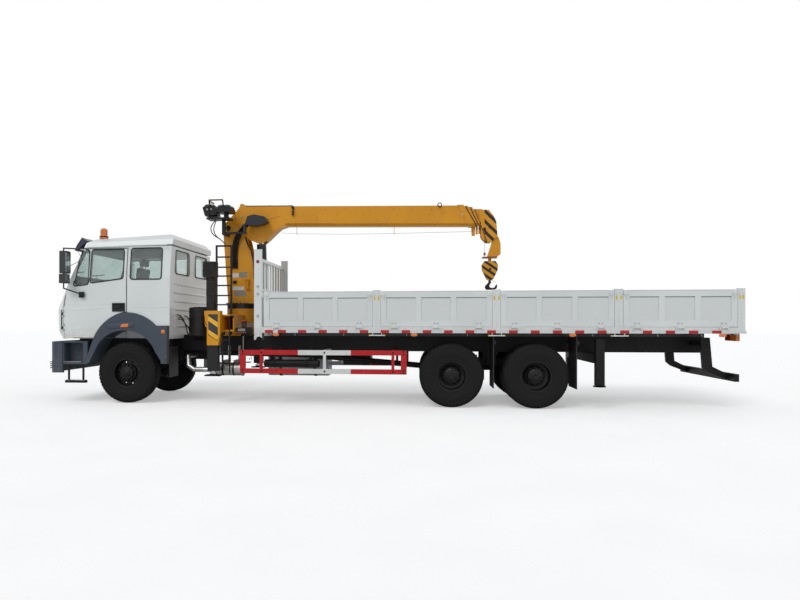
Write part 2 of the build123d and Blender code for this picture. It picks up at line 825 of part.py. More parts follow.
with BuildPart() as steering_wheel:
    with BuildSketch(Plane(origin=(-5330, -650, 2150), z_dir=(0.5, 0, 0.866))):
        Circle(24)
    extrude(amount=-330)
    add(dash_panel.part, mode=Mode.SUBTRACT)
    with BuildSketch(Plane(origin=(-5330, -650, 2150), z_dir=(0.5, 0, 0.866))):
        Rectangle(460, 40)
        Rectangle(40, 460)
        Circle(70)
    extrude(amount=20)
    with Locations(Plane(origin=(-5330, -650, 2165), z_dir=(0.5, 0, 0.866))):
        Torus(235, 16)

# hanging steps under the cab: tread on two bent straps a side
with BuildPart() as hanging_steps:
    for strap_x in (-5800, -5515):
        with Locations((strap_x, -1150, 560)):
            Box(40, 12, 320)
    with Locations((-5657, -1150, 392)):
        Box(400, 90, 46)
    mirror(about=Plane.XZ)

# intake: air cleaner box and square stack behind the cab, held to the frame
with BuildPart() as intake_stack:
    with Locations((-3180, -760, 2500)):
        Box(220, 260, 290)
    with Locations((-3165, -740, 1900)):
        Box(150, 180, 920)
    with BuildSketch(Plane.XY.offset(1251)):
        with Locations((-3420, -640)):
            Circle(210)
    extrude(amount=520)
    with Locations((-3280, -690, 1560)):
        Box(180, 160, 160)
    with Locations((-3420, -430, 1246)):
        Box(200, 420, 10)

# exhaust: pipe from the engine's left side into the silencer drum
with BuildPart() as exhaust:
    with BuildSketch(Plane.YZ.offset(-2990)):
        with Locations((-800, 625)):
            Circle(122)
    extrude(amount=470)
    with BuildLine() as exhaust_path:
        Polyline(
            (-2990, -800, 610),
            (-3480, -800, 610),
            (-3600, -780, 680),
            (-3640, -700, 860),
            (-3640, -150, 860),
        )
    with BuildSketch(Plane(origin=(-2990, -800, 610), z_dir=(-1, 0, 0))):
        Circle(48)
    sweep(path=exhaust_path.line, transition=Transition.ROUND)
    with Locations((-2700, -615, 760), (-2900, -615, 760)):
        Box(50, 370, 60)
    with Locations((-2700, -440, 900), (-2900, -440, 900)):
        Box(50, 20, 300)
    add(engine_block.part, mode=Mode.SUBTRACT)
exhaust.part.label = "exhaust"
export_step(exhaust.part, "parts/exhaust.step")

# tanks: air drum along the left rail, fuel tank on the right rail
with BuildPart() as tanks:
    with BuildSketch(Plane.YZ.offset(-2097)):
        with Locations((-880, 741)):
            Circle(74)
    extrude(amount=1011)
    with Locations((-1900, -620, 790), (-1300, -620, 790)):
        Box(60, 400, 30)
    with Locations((-1900, -440, 913), (-1300, -440, 913)):
        Box(60, 20, 274)
    with BuildSketch(Plane.YZ.offset(-2350)):
        with Locations((830, 670)):
            RectangleRounded(620, 540, 90)
    extrude(amount=1250)
    with Locations((-2250, 475, 900), (-1350, 475, 900)):
        Box(80, 90, 400)
    with Locations((-500, 700, 850)):
        Box(560, 540, 420)

# side guards: two tubes, end frames and three uprights a side, on stays from the frame
guard_front_x = -2490.0
guard_rear_x = 529.0
with BuildPart() as side_guards:
    for rail_z in (958, 622):
        with Locations(((guard_front_x + guard_rear_x) / 2, -1195, rail_z)):
            Box(guard_rear_x - guard_front_x, 40, 88)
    for end_x in (guard_front_x + 52, guard_rear_x - 52):
        with Locations((end_x, -1195, 790)):
            Box(104, 40, 420)
    for upright_x in (-2096, -937, 286):
        with Locations((upright_x, -1195, 790)):
            Box(52, 34, 420)
    for stay_x in (-2096, -937, 286):
        with Locations((stay_x, -810, 985)):
            Box(50, 760, 40)
    mirror(about=Plane.XZ)
side_guards.part.label = "side_guards"
export_step(side_guards.part, "parts/side_guards.step")

# mudflaps behind the front wheels and round the tandem
with BuildPart() as mudflaps:
    with Locations((-3808, -1010, 770)):
        Box(16, 420, 560)
    for flap_x, flap_top in ((2037, 1256), (3440, 1256)):
        with Locations((flap_x, -885, (350 + flap_top) / 2)):
            Box(14, 620, flap_top - 350)
        with Locations((flap_x + 20, -830, 1150)):
            Box(26, 800, 60)
    mirror(about=Plane.XZ)

# bed floor: long and cross bearers, deck, side rails, posts and the hinge pins
post_xs = (0.0, 2082.0, 4122.0)
post_width = 136.0
panel_spans = (
    (bed_front_x + 180, post_xs[0] - 74),
    (post_xs[0] + 74, post_xs[1] - 74),
    (post_xs[1] + 74, post_xs[2] - 74),
    (post_xs[2] + 74, bed_rear_x - 122),
)
hinge_y = bed_half_width + hinge_out
bed_rail_height = deck_top_z - bed_rail_bottom_z
bed_rail_z = (deck_top_z + bed_rail_bottom_z) / 2
with BuildPart() as bed_floor:
    with Locations(((bed_front_x + bed_rear_x) / 2, 0, deck_top_z - deck_thickness / 2)):
        Box(bed_rear_x - bed_front_x, 2 * bed_half_width - 40, deck_thickness)
    for bearer_y in (-390, 390):
        with Locations(((bed_front_x + rail_rear_x) / 2, bearer_y, (rail_top_z + 1300) / 2)):
            Box(rail_rear_x - bed_front_x, 78, 1300 - rail_top_z)
    for bearer_index in range(13):
        bearer_x = bed_front_x + 90 + bearer_index * 680
        with Locations((bearer_x, 0, 1344)):
            Box(70, 2 * bed_half_width - 60, 88)
    for rail_side in (-1, 1):
        with Locations(((bed_front_x + bed_rear_x) / 2, rail_side * (bed_half_width - 20), bed_rail_z)):
            Box(bed_rear_x - bed_front_x, 40, bed_rail_height)
    with Locations((bed_rear_x - 20, 0, bed_rail_z)):
        Box(40, 2 * bed_half_width, bed_rail_height)
    for post_x in post_xs:
        for post_side in (-1, 1):
            with Locations((post_x, post_side * (bed_half_width - 28), 1700)):
                Box(post_width, 56, 740)
    for post_side in (-1, 1):
        with Locations((bed_rear_x - 58, post_side * (bed_half_width - 28), 1700)):
            Box(116, 56, 740)
    for span_start, span_end in panel_spans:
        for hinge_index in range(3):
            lug_x = span_start + (span_end - span_start) * (0.12 + 0.38 * hinge_index)
            for lug_side in (-1, 1):
                with Locations((lug_x, lug_side * hinge_y, hinge_z)):
                    with Locations(Rotation(0, 90, 0)):
                        Cylinder(hinge_pin_radius, 150)
                for lug_offset in (-62, 62):
                    with Locations((lug_x + lug_offset, lug_side * (hinge_y - 19), hinge_z - 14)):
                        Box(22, 56, 50)
    for lug_y in (-800, 0, 800):
        with Locations((bed_rear_x + hinge_out, lug_y, hinge_z)):
            with Locations(Rotation(90, 0, 0)):
                Cylinder(hinge_pin_radius, 150)
        for lug_offset in (-62, 62):
            with Locations((bed_rear_x + hinge_out - 19, lug_y + lug_offset, hinge_z - 14)):
                Box(56, 22, 50)

# headboard: two tall posts, panel and a barred frame over it
with BuildPart() as headboard:
    for post_side in (-1, 1):
        with Locations((bed_front_x + 69, post_side * (bed_half_width - 30), 2000)):
            Box(138, 60, 1626)
        with Locations((bed_front_x + 90, post_side * (bed_half_width - 20), 1276)):
            Box(180, 40, 182)
    with Locations((bed_front_x + 30, 0, 1740)):
        Box(40, 2 * bed_half_width - 118, 640)
    for bar_z in (2100, 2660):
        with Locations((bed_front_x + 30, 0, bar_z)):
            Box(50, 2 * bed_half_width - 118, 60)
    for bar_index in range(9):
        bar_y = -1000 + bar_index * 250
        with Locations((bed_front_x + 30, bar_y, 2380)):
            Box(36, 50, 520)
    with BuildSketch(Plane.XZ.offset(1300)):
        with Locations((bed_front_x + 90, 1185)):
            Circle(62)
    extrude(amount=-2600, mode=Mode.SUBTRACT)
    add(bed_floor.part, mode=Mode.SUBTRACT)

# drop sides: pressed panels with three recesses, hanging on pins along the rail
side_y = -(bed_half_width - side_thickness / 2)
side_mid_z = (side_bottom_z + side_top_z) / 2
for panel_index, (span_start, span_end) in enumerate(panel_spans):
    panel_length = span_end - span_start
    recess_width = (panel_length - 4 * 96) / 3
    with BuildPart() as drop_side:
        with Locations(((span_start + span_end) / 2, side_y, side_mid_z)):
            Box(panel_length, side_thickness, side_top_z - side_bottom_z)
        for recess_index in range(3):
            recess_x = span_start + 96 + recess_width / 2 + recess_index * (recess_width + 96)
            with Locations((recess_x, -bed_half_width, 1742)):
                Box(recess_width, 30, 400, mode=Mode.SUBTRACT)
        for hinge_index in range(3):
            strap_x = span_start + panel_length * (0.12 + 0.38 * hinge_index)
            with Locations((strap_x, -hinge_y, hinge_z)):
                with Locations(Rotation(0, 90, 0)):
                    Cylinder(14, 92)
            with Locations((strap_x, -(bed_half_width + 7), hinge_z + 47)):
                Box(92, 14, 86)
        for hinge_index in range(3):
            strap_x = span_start + panel_length * (0.12 + 0.38 * hinge_index)
            with Locations((strap_x, -hinge_y, hinge_z)):
                with Locations(Rotation(0, 90, 0)):
                    Cylinder(hinge_pin_radius + fit, 100, mode=Mode.SUBTRACT)
    side_name = "drop_side_left_" + str(panel_index + 1)
    drop_side.part.label = side_name
    export_step(drop_side.part, "parts/" + side_name + ".step")

    with BuildPart() as drop_side_right:
        mirror(drop_side.part, about=Plane.XZ)
    side_name = "drop_side_right_" + str(panel_index + 1)
    drop_side_right.part.label = side_name
    export_step(drop_side_right.part, "parts/" + side_name + ".step")

with BuildPart() as tailgate:
    tailgate_width = 2 * (bed_half_width - 62)
    with Locations((bed_rear_x - side_thickness / 2, 0, side_mid_z)):
        Box(side_thickness, tailgate_width, side_top_z - side_bottom_z)
    for recess_y in (-760, 0, 760):
        with Locations((bed_rear_x, recess_y, 1742)):
            Box(30, 640, 400, mode=Mode.SUBTRACT)
    for strap_y in (-800, 0, 800):
        with Locations((bed_rear_x + hinge_out, strap_y, hinge_z)):
            with Locations(Rotation(90, 0, 0)):
                Cylinder(14, 92)
        with Locations((bed_rear_x + 7, strap_y, hinge_z + 47)):
            Box(14, 92, 86)
        with Locations((bed_rear_x + hinge_out, strap_y, hinge_z)):
            with Locations(Rotation(90, 0, 0)):
                Cylinder(hinge_pin_radius + fit, 100, mode=Mode.SUBTRACT)
tailgate.part.label = "tailgate"
export_step(tailgate.part, "parts/tailgate.step")

# rear underrun bar on two braced legs, with the tail lamps above it
with BuildPart() as rear_underrun:
    with Locations((6040, 0, 570)):
        Box(70, 2380, 130)
    with BuildSketch(Plane.XZ.offset(900)):
        Polygon(
            (5572, 1240),
            (5727, 1240),
            (5770, 740),
            (6006, 620),
            (6006, 520),
            (5700, 640),
            (5610, 720),
            align=None,
        )
    extrude(amount=-60)
    with Locations((5650, -650, 1130)):
        Box(150, 440, 60)
    mirror(about=Plane.XZ)
    add(ladder_frame.part, mode=Mode.SUBTRACT)

with BuildPart() as tail_lamps:
    with Locations((6090, -900, 1240)):
        Box(60, 420, 110)
    with Locations((6090, -900, 1340)):
        Box(30, 60, 96)
    mirror(about=Plane.XZ)

# rear outriggers: cross box under the rails with a fixed jack leg at each end
with BuildPart() as rear_outriggers:
    with Locations((rear_leg_x, 0, 876)):
        Box(176, 2170, 160)
    for leg_side in (-1, 1):
        with Locations((rear_leg_x, leg_side * rear_leg_y, rear_leg_bottom_z)):
            Box(142, 140, 794, align=(Align.CENTER, Align.CENTER, Align.MIN))
        with Locations((rear_leg_x, leg_side * rear_leg_y, 800)):
            Cylinder(50, 762, mode=Mode.SUBTRACT)
        with Locations((rear_leg_x, leg_side * rear_leg_y, rear_leg_bottom_z + gland_height / 2)):
            Cylinder(60, gland_height)
            Cylinder(rear_jack_radius + fit, gland_height, mode=Mode.SUBTRACT)

with BuildPart() as rear_foot_left:
    with Locations((rear_leg_x, -rear_leg_y, 402)):
        Cylinder(rear_jack_radius, 740, align=(Align.CENTER, Align.CENTER, Align.MIN))
        Cylinder(105, 20)
rear_foot_left.part.label = "rear_foot_left"
export_step(rear_foot_left.part, "parts/rear_foot_left.step")

with BuildPart() as rear_foot_right:
    mirror(rear_foot_left.part, about=Plane.XZ)
rear_foot_right.part.label = "rear_foot_right"
export_step(rear_foot_right.part, "parts/rear_foot_right.step")

# crane base: twin-bore outrigger box across the frame, with the pedestal on it
box_front_x = -3065.0
box_rear_x = -2640.0
box_half_y = 1085.0
beam_width = 178.0
beam_left_x = -2951.0
beam_right_x = -2749.0
beam_clear = 6.0
beam_bottom_z = 1365.0
beam_top_z = 1615.0
pedestal_radius = 300.0
ring_bottom_z = 1769.0
with BuildPart() as crane_base:
    with Locations(((box_front_x + box_rear_x) / 2, 0, (outrigger_box_bottom_z + outrigger_box_top_z) / 2)):
        Box(box_rear_x - box_front_x, 2 * box_half_y, outrigger_box_top_z - outrigger_box_bottom_z)
    with Locations((slew_x, 0, 1500)):
        Cylinder(pedestal_radius, ring_bottom_z - fit - 1500, align=(Align.CENTER, Align.CENTER, Align.MIN))
    for foot_y in (-390, 390):
        with Locations(((box_front_x + box_rear_x) / 2, foot_y, (rail_top_z + outrigger_box_bottom_z) / 2)):
            Box(box_rear_x - box_front_x + 120, 78, outrigger_box_bottom_z - rail_top_z)
    for bore_x in (beam_left_x, beam_right_x):
        with Locations((bore_x, 0, (beam_bottom_z + beam_top_z) / 2)):
            Box(
                beam_width + 2 * beam_clear,
                2 * box_half_y + 20,
                beam_top_z - beam_bottom_z + 2 * beam_clear,
                mode=Mode.SUBTRACT,
            )
    for bore_x, mouth_side in ((beam_left_x, -1), (beam_right_x, 1)):
        mouth_y = mouth_side * (box_half_y - slide_pad / 2)
        with Locations((bore_x, mouth_y, (beam_bottom_z + beam_top_z) / 2)):
            Box(beam_width + 2 * beam_clear, slide_pad, beam_top_z - beam_bottom_z + 2 * beam_clear)
            Box(
                beam_width + 2 * fit,
                slide_pad,
                beam_top_z - beam_bottom_z + 2 * fit,
                mode=Mode.SUBTRACT,
            )
crane_base.part.label = "crane_base"
export_step(crane_base.part, "parts/crane_base.step")

# front outrigger beam with the yellow cap that grips the leg
cap_front_x = -3144.0
cap_rear_x = -2848.0
leg_x = (leg_front_x + leg_rear_x) / 2
with BuildPart() as beam_and_cap:
    with Locations((beam_left_x, -200, (beam_bottom_z + beam_top_z) / 2)):
        Box(beam_width, 1800, beam_top_z - beam_bottom_z)
        Box(beam_width - 24, 1820, beam_top_z - beam_bottom_z - 24, mode=Mode.SUBTRACT)
    with BuildSketch(Plane.XZ.offset(leg_outer_y)):
        Polygon(
            (cap_front_x, 1713),
            (cap_front_x, 1640),
            (leg_front_x - 8, 1440),
            (leg_front_x - 8, 1085),
            (leg_rear_x + 8, 1085),
            (cap_rear_x, 1300),
            (cap_rear_x, 1713),
            align=None,
        )
    extrude(amount=1092 - leg_outer_y)
    with Locations((leg_x, leg_y, 1375)):
        Box(leg_rear_x - leg_front_x, 128, 610, mode=Mode.SUBTRACT)

with BuildPart() as outrigger_leg_left:
    with Locations((leg_x, leg_y, leg_bottom_z)):
        Box(leg_rear_x - leg_front_x, 128, 1066, align=(Align.CENTER, Align.CENTER, Align.MIN))
    with Locations((leg_x, leg_y, 1127)):
        Cylinder(jack_radius + 6, 1060, mode=Mode.SUBTRACT)
    with Locations((leg_x, leg_y, leg_bottom_z + gland_height / 2)):
        Cylinder(jack_radius + 12, gland_height)
        Cylinder(jack_radius + fit, gland_height, mode=Mode.SUBTRACT)

with BuildPart() as outrigger_foot_left:
    with Locations((leg_x, leg_y, 540)):
        Cylinder(jack_radius, 1040, align=(Align.CENTER, Align.CENTER, Align.MIN))
    with Locations((leg_x - 8, leg_y + 20, 532)):
        Box(288, 188, 24)
    with Locations((leg_x, leg_y, 565)):
        Box(120, 110, 50)
outrigger_foot_left.part.label = "outrigger_foot_left"
export_step(outrigger_foot_left.part, "parts/outrigger_foot_left.step")

with BuildPart() as outrigger_beam_left:
    add(beam_and_cap.part)
    add(outrigger_leg_left.part)
outrigger_beam_left.part.label = "outrigger_beam_left"
export_step(outrigger_beam_left.part, "parts/outrigger_beam_left.step")

# the right outrigger is the left one turned half round the box's middle
turn_axis = Axis(((beam_left_x + beam_right_x) / 2, 0, 0), (0, 0, 1))
for right_name, left_part in (
    ("outrigger_beam_right", outrigger_beam_left.part),
    ("outrigger_foot_right", outrigger_foot_left.part),
):
    with BuildPart() as outrigger_right:
        add(left_part.rotate(turn_axis, 180))
    outrigger_right.part.label = right_name
    export_step(outrigger_right.part, "parts/" + right_name + ".step")

# control banks under the pedestal, with a row of levers a side
with BuildPart() as crane_controls:
    with Locations((-2520, -780, 1345)):
        Box(200, 420, 110)
    with Locations((-2520, -780, 1275)):
        Box(120, 40, 68)
    for lever_index in range(5):
        with Locations((-2520, -940 + lever_index * 80, 1400)):
            Cylinder(8, 115, align=(Align.CENTER, Align.CENTER, Align.MIN))
        with Locations((-2520, -940 + lever_index * 80, 1525)):
            Sphere(19)
    with Locations((-2520, -600, 1262)):
        Box(120, 420, 42)
    mirror(about=Plane.XZ)
    with BuildSketch(Plane.XZ.offset(600)):
        with Locations((-2560, 1345)):
            Circle(14)
    extrude(amount=-1200)
    add(crane_base.part, mode=Mode.SUBTRACT)

# ladders: bent tube up beside the column, short one hung below the box
with BuildPart() as ladders:
    for stile_x in (-3012, -2730):
        with Locations((stile_x, -920, 2290)):
            Box(32, 32, 1290)
    with Locations((-2871, -920, 2927)):
        Box(314, 32, 32)
    for rung_z in (1830, 2002, 2189, 2365, 2530, 2720):
        with Locations((-2871, -920, rung_z)):
            Box(250, 26, 26)
    for stile_x in (-2822, -2690):
        with Locations((stile_x, -1180, 1010)):
            Box(28, 28, 560)
        with Locations((stile_x, -1130, 1290)):
            Box(28, 128, 28)
        with Locations((stile_x, -1071, 1320)):
            Box(28, 28, 60)
    for rung_z in (744, 960, 1179):
        with Locations((-2756, -1180, rung_z)):
            Box(104, 26, 26)
    add(crane_base.part, mode=Mode.SUBTRACT)

# slewing column: welded box with a slot for the boom's heel and a recess for the cylinder
with BuildPart() as slew_ring:
    with Locations((slew_x, 0, ring_bottom_z)):
        Cylinder(pedestal_radius, 102, align=(Align.CENTER, Align.CENTER, Align.MIN))

with BuildPart() as column_weldment:
    with BuildSketch(Plane.XZ.offset(column_half)):
        Polygon(
            (-3000, 1871),
            (-2443, 1871),
            (-2443, 2367),
            (-2606, 3121),
            (-2790, 3385),
            (-2930, 3475),
            (-3050, 3475),
            (-3117, 3418),
            (-3104, 3335),
            align=None,
        )
    extrude(amount=-2 * column_half)
    with BuildSketch(Plane.XZ.offset(column_slot)):
        Polygon(
            (-3200, 3225),
            (-2960, 3225),
            (-2860, 3140),
            (-2500, 3140),
            (-2500, 3600),
            (-3200, 3600),
            align=None,
        )
        Polygon((-2430, 1995), (-2570, 1995), (-2740, 3226), (-2430, 3226), align=None)
    extrude(amount=-2 * column_slot, mode=Mode.SUBTRACT)
    with BuildSketch(Plane.XZ.offset(column_half + 8)):
        with Locations((pivot_x, pivot_z)):
            Circle(luff_pin_radius)
    extrude(amount=-2 * column_half - 16)
    for lug_y in (46, -66):
        with BuildSketch(Plane.XZ.offset(-lug_y)):
            Polygon(
                (-2600, 1960),
                (-2443, 1900),
                (-2300, 1985),
                (-2280, 2050),
                (-2300, 2100),
                (-2460, 2110),
                (-2600, 2250),
                align=None,
            )
        extrude(amount=-20)
    with BuildSketch(Plane.XZ.offset(70)):
        with Locations((cyl_low_x, cyl_low_z)):
            Circle(low_pin_radius)
    extrude(amount=-140)

# operator's seat, console and hand rail on an arm from the column's head
with BuildPart() as seat_frame:
    with Locations((-3000, -335, 3222)):
        Box(70, 300, 60)
    with Locations((-3000, -490, 3355)):
        Box(60, 60, 326)
    with Locations((-3075, -490, 3494)):
        Box(450, 300, 32)
    with BuildSketch(Plane.XZ.offset(640)):
        Polygon((-3330, 3540), (-3378, 3700), (-3300, 3762), (-3130, 3740), (-3104, 3560), align=None)
    extrude(amount=-300)
    with Locations((-3210, -490, 3520)):
        Box(120, 200, 60)
    with Locations((-2950, -490, 3560)):
        Box(80, 80, 110)
    with Locations((-2955, -490, 3650)):
        Box(270, 360, 84)
    fillet(seat_frame.edges().filter_by(Axis.Y).sort_by(Axis.Z)[-2:], radius=18)
    with BuildLine() as rail_line:
        Polyline((-3240, -650, 3560), (-3240, -650, 3840), (-2980, -650, 3840), (-2930, -650, 3500))
    with BuildSketch(Plane(origin=(-3240, -650, 3560), z_dir=(0, 0, 1))):
        Circle(13)
    sweep(path=rail_line.line, transition=Transition.RIGHT)
    with Locations((-2800, -490, 3222)):
        Box(460, 40, 40)
    with Locations((-2590, -460, 3300)):
        Box(40, 100, 190)

with BuildPart() as hose_guard:
    with BuildSketch(Plane.XZ.offset(410)):
        Polygon(
            (-2610, 3395),
            (-2560, 3560),
            (-2430, 3590),
            (-2220, 3545),
            (-2160, 3450),
            (-2260, 3400),
            (-2420, 3369),
            align=None,
        )
    extrude(amount=-200)

# lift cylinder: barrel pinned to the column, rod pinned to the boom's cheeks
cyl_run_x = cyl_high_x - cyl_low_x
cyl_run_z = cyl_high_z - cyl_low_z
cyl_length = math.hypot(cyl_run_x, cyl_run_z)
cyl_plane = Plane(origin=(cyl_low_x, 0, cyl_low_z), z_dir=(cyl_run_x, 0, cyl_run_z))
eye_half = 45.0
barrel_bore = 64.0
rod_radius = 46.0
with BuildPart() as lift_barrel:
    with BuildSketch(Plane.XZ.offset(40)):
        with Locations((cyl_low_x, cyl_low_z)):
            Circle(60)
    extrude(amount=-80)
    with BuildSketch(cyl_plane.offset(50)):
        Circle(38)
    extrude(amount=60)
    with BuildSketch(cyl_plane.offset(100)):
        Circle(95)
    extrude(amount=cyl_length - 210)
    with BuildSketch(cyl_plane.offset(140)):
        Circle(barrel_bore)
    extrude(amount=cyl_length, mode=Mode.SUBTRACT)
    with BuildSketch(Plane.XZ.offset(45)):
        with Locations((cyl_low_x, cyl_low_z)):
            Circle(low_pin_radius + fit)
    extrude(amount=-90, mode=Mode.SUBTRACT)
lift_barrel.part.label = "lift_barrel"
export_step(lift_barrel.part, "parts/lift_barrel.step")

with BuildPart() as lift_rod:
    with BuildSketch(cyl_plane.offset(160)):
        Circle(rod_radius)
    extrude(amount=cyl_length - 200)
    with BuildSketch(cyl_plane.offset(160)):
        Circle(barrel_bore - fit)
    extrude(amount=60)
    with BuildSketch(Plane.XZ.offset(eye_half)):
        with Locations((cyl_high_x, cyl_high_z)):
            Circle(58)
    extrude(amount=-2 * eye_half)
lift_rod.part.label = "lift_rod"
export_step(lift_rod.part, "parts/lift_rod.step")

# telescopic boom, drawn in its own frame: origin on the luffing pin, X along the boom
boom_plane = Plane(
    origin=(pivot_x, 0, pivot_z),
    x_dir=(math.cos(math.radians(boom_tilt)), 0, -math.sin(math.radians(boom_tilt))),
    z_dir=(0, -1, 0),
)
boom_bottom = 50.0
boom_top = 435.0
tip_top_x = 4585.0
tip_bottom_x = 4812.0
cheek = 18.0
heel_plate = 8.0
pad_length = 110.0
tube_start_x = 1150.0


def boom_face(x, inset):
    """Section across the boom at x, flat on top with bent lower edges, moved inwards by inset."""
    across = Plane(
        origin=boom_plane.from_local_coords((x, 0, 0)), x_dir=(0, 1, 0), z_dir=boom_plane.x_dir
    )
    with BuildSketch(across) as face:
        Polygon(
            (-boom_half, boom_top),
            (-boom_half, boom_bottom + boom_bevel),
            (-boom_half + boom_bevel, boom_bottom),
            (boom_half - boom_bevel, boom_bottom),
            (boom_half, boom_bottom + boom_bevel),
            (boom_half, boom_top),
            align=None,
        )
        if inset:
            offset(amount=-inset, kind=Kind.INTERSECTION)
    return face.sketch


def boom_stretch(inset, start_bottom_x, start_top_x, end_bottom_x, end_top_x):
    """Solid stretch of the boom between two slanted lines, moved inwards by inset."""
    first_x = min(start_bottom_x, start_top_x) - 60
    last_x = max(end_bottom_x, end_top_x) + 60
    with BuildPart() as stretch:
        extrude(boom_face(first_x, inset), amount=last_x - first_x)
        with BuildSketch(boom_plane.offset(2 * boom_half)):
            Polygon(
                (start_bottom_x, boom_bottom + inset),
                (end_bottom_x, boom_bottom + inset),
                (end_top_x, boom_top - inset),
                (start_top_x, boom_top - inset),
                align=None,
            )
        extrude(amount=-4 * boom_half, mode=Mode.INTERSECT)
    return stretch.part


def boom_mouth(inset, end_bottom_x, end_top_x):
    """Slide pad inside a section's mouth, bored to carry the next section."""
    with BuildPart() as pad:
        add(
            boom_stretch(
                inset + boom_wall,
                end_bottom_x - 20 - pad_length,
                end_top_x - 20 - pad_length,
                end_bottom_x - 20,
                end_top_x - 20,
            )
        )
        extrude(
            boom_face(end_top_x - 400, inset + boom_step - fit),
            amount=1200,
            mode=Mode.SUBTRACT,
        )
    return pad.part


with BuildPart() as base_section:
    with BuildSketch(boom_plane.offset(boom_half)):
        with BuildLine():
            Polyline(
                (-95, -62),
                (330, -190),
                (600, -292),
                (700, -284),
                (800, -205),
                (928, -78),
                (1030, 10),
                (tube_start_x, boom_bottom),
                (tube_start_x, boom_top),
                (335, boom_top),
                (290, 485),
                (230, 485),
                (195, 398),
                (-95, 75),
                close=True,
            )
        make_face()
    extrude(amount=-2 * boom_half)
    with BuildSketch(boom_plane.offset(boom_half - cheek)):
        Polygon(
            (-200, -400),
            (700, -400),
            (760, -210),
            (905, -65),
            (1012, 24),
            (tube_start_x - 5, boom_bottom + boom_wall),
            (tube_start_x + 10, boom_bottom + boom_wall),
            (tube_start_x + 10, boom_top - boom_wall),
            (350, boom_top - boom_wall),
            (300, 600),
            (-200, 600),
            align=None,
        )
    extrude(amount=-2 * (boom_half - cheek), mode=Mode.SUBTRACT)
    add(boom_stretch(0, tube_start_x, tube_start_x, tip_bottom_x, tip_top_x))
    add(boom_stretch(-12, tip_bottom_x - 120, tip_top_x - 120, tip_bottom_x + 6, tip_top_x - 6))
    extrude(boom_face(tube_start_x - 20, boom_wall), amount=4200, mode=Mode.SUBTRACT)
    add(boom_mouth(0, tip_bottom_x, tip_top_x))
    for plate_side in (boom_half + heel_plate, -boom_half):
        with BuildSketch(boom_plane.offset(plate_side)):
            Polygon((330, 175), (800, 175), (1050, 249), (690, 372), (330, 372), align=None)
            Polygon(
                (700, -50),
                (800, 118),
                (2001, 148),
                (2035, boom_bottom + boom_bevel + 4),
                (tube_start_x + 10, boom_bottom + boom_bevel + 4),
                (1030, 30),
                (900, -85),
                align=None,
            )
        extrude(amount=-heel_plate)
    with BuildSketch(boom_plane.offset(12)):
        Polygon((4752, -130), (4812, -130), (4818, boom_bottom - 6), (4740, boom_bottom - 6), align=None)
    extrude(amount=-24)
    with BuildSketch(boom_plane.offset(boom_half + 5)):
        with Locations((0, 0)):
            Circle(luff_pin_radius + fit)
    extrude(amount=-2 * boom_half - 10, mode=Mode.SUBTRACT)
    for boss_y in (-boom_half - 6, eye_half + 7):
        with BuildSketch(Plane.XZ.offset(-boss_y)):
            with Locations((cyl_high_x, cyl_high_z)):
                Circle(52)
        extrude(amount=eye_half + 7 - boom_half - 6)

# inner sections: each a smaller tube with a slanted collar that stays outside the one before
# table columns: name, tail_x, tip_top_x, tip_bottom_x, lug_front_x, lug_rear_x, lug_bottom_z
inner_sections = (
    ("boom_section_2", 900, 4668, 4862, 4826, 4866, -100),
    ("boom_section_3", 1200, 4746, 4905, 4878, 4912, -90),
)
last_top_x = tip_top_x
last_bottom_x = tip_bottom_x + 6
for section_index, row in enumerate(inner_sections):
    section_name, tail_x, section_top_x, section_bottom_x, lug_front_x, lug_rear_x, lug_bottom_z = row
    inset = boom_step * (section_index + 1)
    bottom = boom_bottom + inset
    with BuildPart() as inner_section:
        add(boom_stretch(inset, tail_x, tail_x, section_bottom_x, section_top_x))
        add(boom_stretch(inset - 14, last_bottom_x + 8, last_top_x + 22, section_bottom_x, section_top_x))
        extrude(boom_face(tail_x - 100, inset + boom_wall), amount=5000, mode=Mode.SUBTRACT)
        add(boom_mouth(inset, section_bottom_x, section_top_x))
        with BuildSketch(boom_plane.offset(12)):
            Polygon(
                (lug_front_x, lug_bottom_z),
                (lug_rear_x, lug_bottom_z),
                (lug_rear_x, bottom - 4),
                (lug_front_x, bottom - 4),
                align=None,
            )
        extrude(amount=-24)
    last_top_x = section_top_x
    last_bottom_x = section_bottom_x
    inner_section.part.label = section_name
    export_step(inner_section.part, "parts/" + section_name + ".step")

# last section with the boom head: two side plates round the head sheave
head_half = 100.0
with BuildPart() as head_section:
    inset = boom_step * 3
    extrude(boom_face(1500, inset), amount=3430)
    extrude(boom_face(1400, inset + boom_wall), amount=3500, mode=Mode.SUBTRACT)
    with BuildSketch(boom_plane.offset(head_half)):
        Polygon(
            (4862, 366),
            (5062, 356),
            (5160, 230),
            (5202, 134),
            (5225, -100),
            (5228, -165),
            (5180, -190),
            (5100, -262),
            (5020, -262),
            (4940, -190),
            (4918, -139),
            (4918, 113),
            align=None,
        )
    extrude(amount=-2 * head_half)
    with BuildSketch(boom_plane.offset(head_half - 22)):
        Polygon(
            (4860, 500),
            (4860, 352),
            (4900, 105),
            (4880, -300),
            (5300, -300),
            (5300, 200),
            (5100, 330),
            (5040, 338),
            align=None,
        )
    extrude(amount=-2 * (head_half - 22), mode=Mode.SUBTRACT)
    for pin_place, pin_radius in (((5092, 28), 25), ((5200, -140), head_pin_radius)):
        with BuildSketch(boom_plane.offset(head_half + 5)):
            with Locations(pin_place):
                Circle(pin_radius)
        extrude(amount=-2 * head_half - 10)

with BuildPart() as head_sheave:
    with BuildSketch(boom_plane.offset(40)):
        with Locations((5092, 28)):
            Circle(130)
    extrude(amount=-80)

